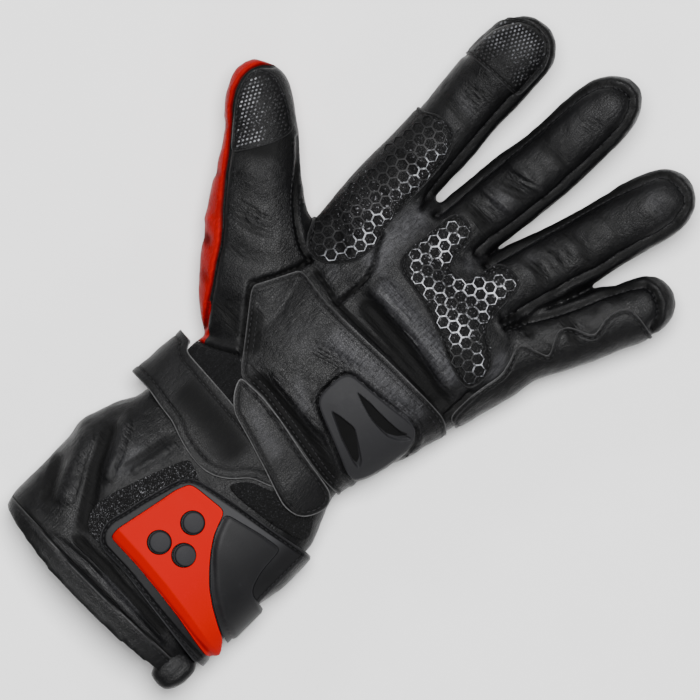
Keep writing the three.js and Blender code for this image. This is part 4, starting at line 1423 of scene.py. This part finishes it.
def leather(name, dark, light, shine=0.43, grain=1.0, raw=0.04, specular=0.13, specks=0.0, painted_light_strength=1.0):
    """Goatskin: fine pebbles and short hair-like streaks under a satin dressing. It is duller in the valleys
    of its folds, which painted shade darkens, and smoother on their ridges; fine wrinkles gather beside each
    fold, painted shade darkens the seams, the raw edge is pale where it was cut, and a map of painted light and
    shade lays a painted sheen on some places and painted black shade on others."""
    material, shader, place = new_material(name)
    pebble = place.node("ShaderNodeTexVoronoi", {"Vector": place, "Scale": 1150}, 0,
                        feature="DISTANCE_TO_EDGE")
    slow = place.node("ShaderNodeTexNoise", {"Vector": place, "Scale": 26, "Detail": 2, "Roughness": 0.5}, 0)
    fine = place.node("ShaderNodeTexNoise", {"Vector": place, "Scale": 900, "Detail": 3, "Roughness": 0.6}, 0)
    slanted = {"Vector": place, "Rotation": (0, 0, 0.75), "Scale": (1, 0.2, 1)}
    combed = place.node("ShaderNodeMapping", slanted, 0)
    hairs = {"Vector": combed, "Scale": 1000, "Detail": 3, "Distortion": 0.6}
    streak = place.node("ShaderNodeTexNoise", hairs, 0)
    across = place.node("ShaderNodeMapping", {"Vector": place, "Scale": (0.12, 1, 0.6)}, 0)
    lines = {"Vector": across, "Scale": 620, "Detail": 3, "Distortion": 0.5}
    wrinkle = place.node("ShaderNodeTexNoise", lines, 0)
    at_edge = 1 - place.node("ShaderNodeAttribute", {}, 2, attribute_name="edge").between(0.15, 0.7)
    seam_shade = 1 - place.node("ShaderNodeAttribute", {}, 2, attribute_name="seam").between(0.2, 1.6)
    fold = place.node("ShaderNodeAttribute", {}, 2, attribute_name="fold")
    valley = 1 - fold.between(-1.3, -0.1)
    ridge = fold.between(0.2, 1.4)
    creased = fold.math("ABSOLUTE", fold).between(0.12, 0.7)
    groove = pebble.between(0.0, 0.16)
    worn = slow.between(0.35, 0.75) * 0.25 + ridge * 0.35 + streak.between(0.45, 0.75) * 0.3
    tone = worn.mix(dark, light)
    # painted shade: the valleys of the folds are darkened to a third of the dark tone
    tone = (valley * 0.85).mix(tone, colour(*(0.3 * part for part in dark[:3])))
    # the map of painted light and shade: above zero it lays a painted sheen on the leather, grained by the nap;
    # below zero it blackens the leather with painted shade
    rub = place.node("ShaderNodeAttribute", {}, 2, attribute_name="rub") * painted_light_strength
    nap = 0.25 + 0.9 * streak.between(0.3, 0.7) + 0.25 * fine.between(0.35, 0.65)
    pale = rub.between(0.0, 1.15) * (1 - valley) * nap * (0.65 + 0.35 * groove)
    black = (0 - rub).between(0.0, 1.0)
    tone = (black * 0.75).mix(tone, colour(*(0.3 * part for part in dark[:3])))
    tone = pale.mix(tone, colour(0.036, 0.036, 0.039))
    speckled = fine.between(0.60, 0.72) * slow.between(0.4, 0.6) * specks
    tone = speckled.mix(tone, colour(0.16, 0.16, 0.17))
    tone = (at_edge * (0.3 + 0.9 * streak)).mix(tone, colour(*(part + raw for part in light[:3])))
    # painted shade in the seam grooves and along the stitched rows
    tone = (seam_shade * 0.85).mix(tone, colour(*(0.15 * part for part in dark[:3])))
    attach(tone, shader, "Base Color")
    dull = shine + 0.30 * valley + 0.22 * seam_shade + 0.14 * (slow - 0.5) + 0.14 * (streak - 0.5)
    dull = dull - 0.04 * ridge + 0.32 * black
    attach(dull, shader, "Roughness")
    lift = groove * 0.3 + fine * 0.6 + streak * 1.2 + wrinkle * (0.3 + 2.6 * creased)
    bump = place.node("ShaderNodeBump", {"Height": lift, "Strength": 0.45 * grain, "Distance": 0.0004}, 0)
    attach(bump, shader, "Normal")
    shader.inputs["Specular IOR Level"].default_value = specular
    return material


def moulded(name, dark, light, shine, texture=1.0, specular=0.35, holes=(), painted_light_strength=0.0):
    """Moulded plastic or rubber: a fine spark-eroded grain, paler along its edges, black with painted shade in
    its recesses, its sewing channel and the round holes of the studs, and lighter with a painted highlight where
    the map of painted light and shade says so."""
    material, shader, place = new_material(name)
    fine = place.node("ShaderNodeTexNoise", {"Vector": place, "Scale": 1500, "Detail": 3}, 0)
    slow = place.node("ShaderNodeTexNoise", {"Vector": place, "Scale": 45, "Detail": 4}, 0)
    rough = {"Vector": place, "Scale": 260, "Detail": 6, "Roughness": 0.7}
    scuff = place.node("ShaderNodeTexNoise", rough, 0)
    at_edge = 1 - place.node("ShaderNodeAttribute", {}, 2, attribute_name="edge").between(0.1, 0.6)
    clear_of_painted_shade = place.node("ShaderNodeAttribute", {}, 2, attribute_name="seam").between(0.1, 0.9)
    worn = at_edge * 0.5 + scuff.between(0.56, 0.72) * 0.25 + slow * 0.25
    rub = place.node("ShaderNodeAttribute", {}, 2, attribute_name="rub") * painted_light_strength
    # painted highlight: where the map of painted light and shade is above zero, the tone goes toward a light
    # grey
    tone = (rub * (0.75 + 0.5 * scuff)).mix(worn.mix(dark, light), colour(0.05, 0.05, 0.053))
    # painted shade: recess floors, the rim's sewing channel and the gap round each stud are painted black
    tone = (1 - clear_of_painted_shade).mix(tone, colour(0.0008, 0.0008, 0.0009))
    flat = place.node("ShaderNodeVectorMath", {0: place, 1: (1, 1, 0)}, 0, operation="MULTIPLY")
    # painted shade: a black ring on the wall of each stud's hole
    for x, y in holes:
        apart = place.node("ShaderNodeVectorMath", {0: flat, 1: (x * MM, y * MM, 0)}, 1, operation="DISTANCE")
        ring = 1 - apart.between((HOLE_RADIUS + 0.1) * MM, (HOLE_RADIUS + 0.25) * MM)
        tone = ring.mix(tone, colour(0.001, 0.001, 0.001))
    attach(tone, shader, "Base Color")
    attach(shine + 0.14 * slow + 0.1 * scuff + 0.3 * (1 - clear_of_painted_shade), shader, "Roughness")
    grain = place.node("ShaderNodeBump", {"Height": fine + scuff * 0.6, "Strength": 0.12 * texture,
                                          "Distance": 0.0004}, 0)
    attach(grain, shader, "Normal")
    shader.inputs["Specular IOR Level"].default_value = specular
    return material


def printed(name, dark, light, way, start, end, least=0.0):
    """Silicone print, worn away in patches down to the dark leather. A painted highlight lies on it: the print
    is whole and bright beyond the end of a ramp that rises one way across the panel, and fades into the dark on
    the other side."""
    material, shader, place = new_material(name)
    wide = {"Vector": place, "Scale": 75, "Detail": 2, "Roughness": 0.6}
    patches = place.node("ShaderNodeTexNoise", wide, 0)
    small = {"Vector": place, "Scale": 640, "Detail": 3, "Roughness": 0.7}
    breaks = place.node("ShaderNodeTexNoise", small, 0)
    # painted highlight: the ramp keeps the print bright on one side of the panel and fades it into the dark on
    # the other
    across = place.node("ShaderNodeVectorMath", {0: place, 1: way}, 1, operation="DOT_PRODUCT")
    kept = across.between(start * MM, end * MM)
    left = (patches * 1.2 + breaks * 1.0 + 0.34 * (kept - 1)).between(0.92, 1.34)
    left = left * (least + (1 - least) * kept)
    attach(left.mix(dark, light), shader, "Base Color")
    attach(0.6 - 0.2 * left, shader, "Roughness")
    bump = place.node("ShaderNodeBump", {"Height": breaks, "Strength": 0.4, "Distance": 0.0004}, 0)
    attach(bump, shader, "Normal")
    shader.inputs["Specular IOR Level"].default_value = 0.25
    return material


def woven(name, dark, light, scale=420, bumpy=0.7):
    """Knit and loop pile: a rough nap of short loops, the tips of which catch the light."""
    material, shader, place = new_material(name)
    loops = place.node("ShaderNodeTexVoronoi", {"Vector": place, "Scale": scale}, 0, feature="F1")
    finer = {"Vector": place, "Scale": scale * 2.2, "Detail": 6, "Roughness": 0.75}
    fluff = place.node("ShaderNodeTexNoise", finer, 0)
    slow = place.node("ShaderNodeTexNoise", {"Vector": place, "Scale": 60, "Detail": 3}, 0)
    tips = fluff.between(0.54, 0.70) * (1 - loops) * (0.3 + 1.2 * slow)
    attach(tips.mix(dark, light), shader, "Base Color")
    attach(0.8 + 0.15 * fluff, shader, "Roughness")
    bump = place.node("ShaderNodeBump", {"Height": loops + fluff, "Strength": bumpy, "Distance": 0.0008}, 0)
    attach(bump, shader, "Normal")
    shader.inputs["Specular IOR Level"].default_value = 0.2
    return material


# %% Materials of the glove
HIDE_DARK = colour(0.0018, 0.0018, 0.002)
HIDE_LIGHT = colour(0.0075, 0.0075, 0.0082)
GRIP_DARK = colour(0.0014, 0.0014, 0.0016)
GRIP_LIGHT = colour(0.005, 0.005, 0.0056)
BLACK = leather("black_leather", HIDE_DARK, HIDE_LIGHT)
EDGED = leather("cut_leather", HIDE_DARK, HIDE_LIGHT, raw=0.08)
RED = leather("red_leather", colour(0.17, 0.0006, 0.0006), colour(0.42, 0.0016, 0.001), raw=0.0, specular=0.04,
              painted_light_strength=0)
GRIP = leather("grip_leather", GRIP_DARK, GRIP_LIGHT, shine=0.5, grain=2, raw=0.012, specular=0.12,
               specks=1.0, painted_light_strength=0)
TOUCH = leather("touch_leather", GRIP_DARK, GRIP_LIGHT, shine=0.5, raw=0.012, specular=0.12, specks=0.4,
                painted_light_strength=0)
SLIDER = moulded("slider_plastic", colour(0.009, 0.009, 0.010), colour(0.022, 0.022, 0.024), 0.5, 0.8,
                 specular=0.16)
RUBBER = moulded("frame_rubber", colour(0.0022, 0.0022, 0.0025), colour(0.024, 0.024, 0.026), 0.5,
                 specular=0.13, painted_light_strength=0.45)
GREY = moulded("grey_plastic", colour(0.004, 0.004, 0.0045), colour(0.016, 0.016, 0.018), 0.44, specular=0.16)
RED_PLATE = moulded("red_plastic", colour(0.34, 0.0006, 0.0005), colour(0.41, 0.0014, 0.001), 0.45, 0.6,
                    specular=0.02, holes=STUDS)
STUD = moulded("stud_metal", colour(0.010, 0.010, 0.0115), colour(0.022, 0.022, 0.025), 0.5, specular=0.14)
HEX_DARK = colour(0.003, 0.003, 0.0034)
# the print's own light colour, with a painted highlight that fades it across each panel
HEX_PALM = printed("palm_silicone", HEX_DARK, colour(0.42, 0.43, 0.46), (0, 1, 0), 28, 39, 0.2)
HEX_INDEX = printed("index_silicone", HEX_DARK, colour(0.28, 0.29, 0.31), (1, 0, 0), -44, -31, 0.12)
# the dots of the touch patches: their bright colour is a painted glint, brightest on one side of each patch
DOT_INDEX = printed("index_dots", HEX_DARK, colour(0.09, 0.092, 0.10), (0, 1, 0), 126, 146, 0.15)
DOT_THUMB = printed("thumb_dots", HEX_DARK, colour(0.26, 0.265, 0.28), (-1, -1, 0), 38, 60, 0.3)
PILE = woven("loop_pile", colour(0.0008, 0.0008, 0.0009), colour(0.48, 0.48, 0.51), scale=760)
# painted shade: the pad at the wrist is a copy of the loop pile whose tips catch less painted light
SHADED_PILE = woven("worn_pile", colour(0.0006, 0.0006, 0.0007), colour(0.10, 0.10, 0.11), scale=760)
KNIT = woven("knit", colour(0.0015, 0.0015, 0.0018), colour(0.05, 0.05, 0.056), scale=900)
THREAD = moulded("thread_fibre", colour(0.004, 0.004, 0.0045), colour(0.03, 0.03, 0.033), 0.55, specular=0.2)
LINING = woven("lining", colour(0.002, 0.002, 0.0022), colour(0.015, 0.015, 0.017), scale=300)

floor_material, floor_shader, floor_place = new_material("pale_floor")
speck = floor_place.node("ShaderNodeTexNoise", {"Vector": floor_place, "Scale": 30, "Detail": 2}, 0)
attach(speck.mix(colour(0.86, 0.86, 0.86), colour(0.9, 0.9, 0.9)), floor_shader, "Base Color")
floor_shader.inputs["Roughness"].default_value = 0.9
floor.data.materials.append(floor_material)
print(len(bpy.data.materials), "materials")

# %% [markdown]
# ## Every piece rides on the part
# Each piece is put into metres, takes its material, stands for the CAD nodes that it replaces and rides on the
# one body. The flap, the strap and the tab are fastened and stay where they are.


# %% Riding on the part
def finish_piece(piece, materials, slot, *nodes, angle=38):
    piece.data.transform(Matrix.Scale(MM, 4))
    piece.data.materials.clear()
    for material in materials:
        piece.data.materials.append(material)
    piece.data.shade_smooth()
    piece.data.set_sharp_from_angle(angle=math.radians(angle))
    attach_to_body(piece, "root")
    if nodes:
        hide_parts(*nodes)


HAND_NODES = [
    "palm_shell", "back_shell", "index_front", "index_back", "middle_front", "middle_back", "ring_front",
    "ring_back", "little_front", "little_back", "fourchette_index_middle", "fourchette_middle_ring",
    "fourchette_ring_little", "thumb_front", "thumb_web",
]
TABLE = [
    # piece, materials, slot, nodes it stands for
    (hand, [BLACK, LINING], "leather", HAND_NODES),
    (thumb_back, [RED, LINING], "red_leather", ["thumb_back"]),
    (gusset, [KNIT, LINING], "knit", ["wrist_gusset"]),
    (cuff, [BLACK, LINING], "leather", ["cuff_shell"]),
    (hem, [BLACK, LINING], "leather", ["cuff_hem"]),
    (fold, [BLACK], "leather", ["cuff_fold"]),
    (heel_panel, [BLACK], "leather", ["heel_panel"]),
    (side_panel, [BLACK], "leather", ["side_panel"]),
    (grip_index, [GRIP], "grip", ["grip_index"]),
    (grip_palm, [GRIP], "grip", ["grip_palm"]),
    (hexes_index, [HEX_INDEX], "grip", []),
    (hexes_palm, [HEX_PALM], "grip", []),
    (dots_index, [DOT_INDEX], "touch", []),
    (dots_thumb, [DOT_THUMB], "touch", []),
    (touch_index, [TOUCH], "touch", ["touch_index"]),
    (touch_thumb, [TOUCH], "touch", ["touch_thumb"]),
    (slider, [SLIDER], "slider", ["palm_slider"]),
    (wrist_pad, [SHADED_PILE], "loop_pile", ["wrist_loop_pad"]),
    (cuff_pad, [PILE], "loop_pile", ["cuff_loop_pad"]),
    (strap, [EDGED], "leather", ["wrist_strap"]),
    (tab, [EDGED], "leather", ["wrist_tab"]),
    (flap, [BLACK], "leather", ["flap"]),
    (rim, [RUBBER], "moulding", ["flap_frame"]),
    (grey_plate, [GREY], "grey_plate", ["flap_shell"]),
    (red_plate, [RED_PLATE], "red_plate", ["flap_inlay"]),
    (studs[0], [STUD], "moulding", ["stud_1"]),
    (studs[1], [STUD], "moulding", ["stud_2"]),
    (studs[2], [STUD], "moulding", ["stud_3"]),
    (thread, [THREAD], "leather", []),
]
for piece, materials, slot, nodes in TABLE:
    finish_piece(piece, materials, slot, *nodes)

tools = [cuff_cut, cuff_cut_grown, hem_cut, hem_cut_grown]
tools += [gusset_cut, gusset_cut_grown, thumb_cut, thumb_cut_grown]
leftovers = [skin, trunk_form, strap_form, *tools]
used_up = ("under_seam", "beyond_seam", "mouth_side", "wall")
leftovers += [piece for piece in scene.objects if piece.name.startswith(used_up)]
for piece in set(leftovers):
    bpy.data.objects.remove(piece)
faces = sum(len(piece.data.polygons) for piece, _, _, _ in TABLE)
print(len(TABLE), "pieces with", faces, "faces")

# %% Sizes and finish
size = {"cad": cad_box, "visual": [list(corner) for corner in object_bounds()]}
print("Visual box", size["visual"])
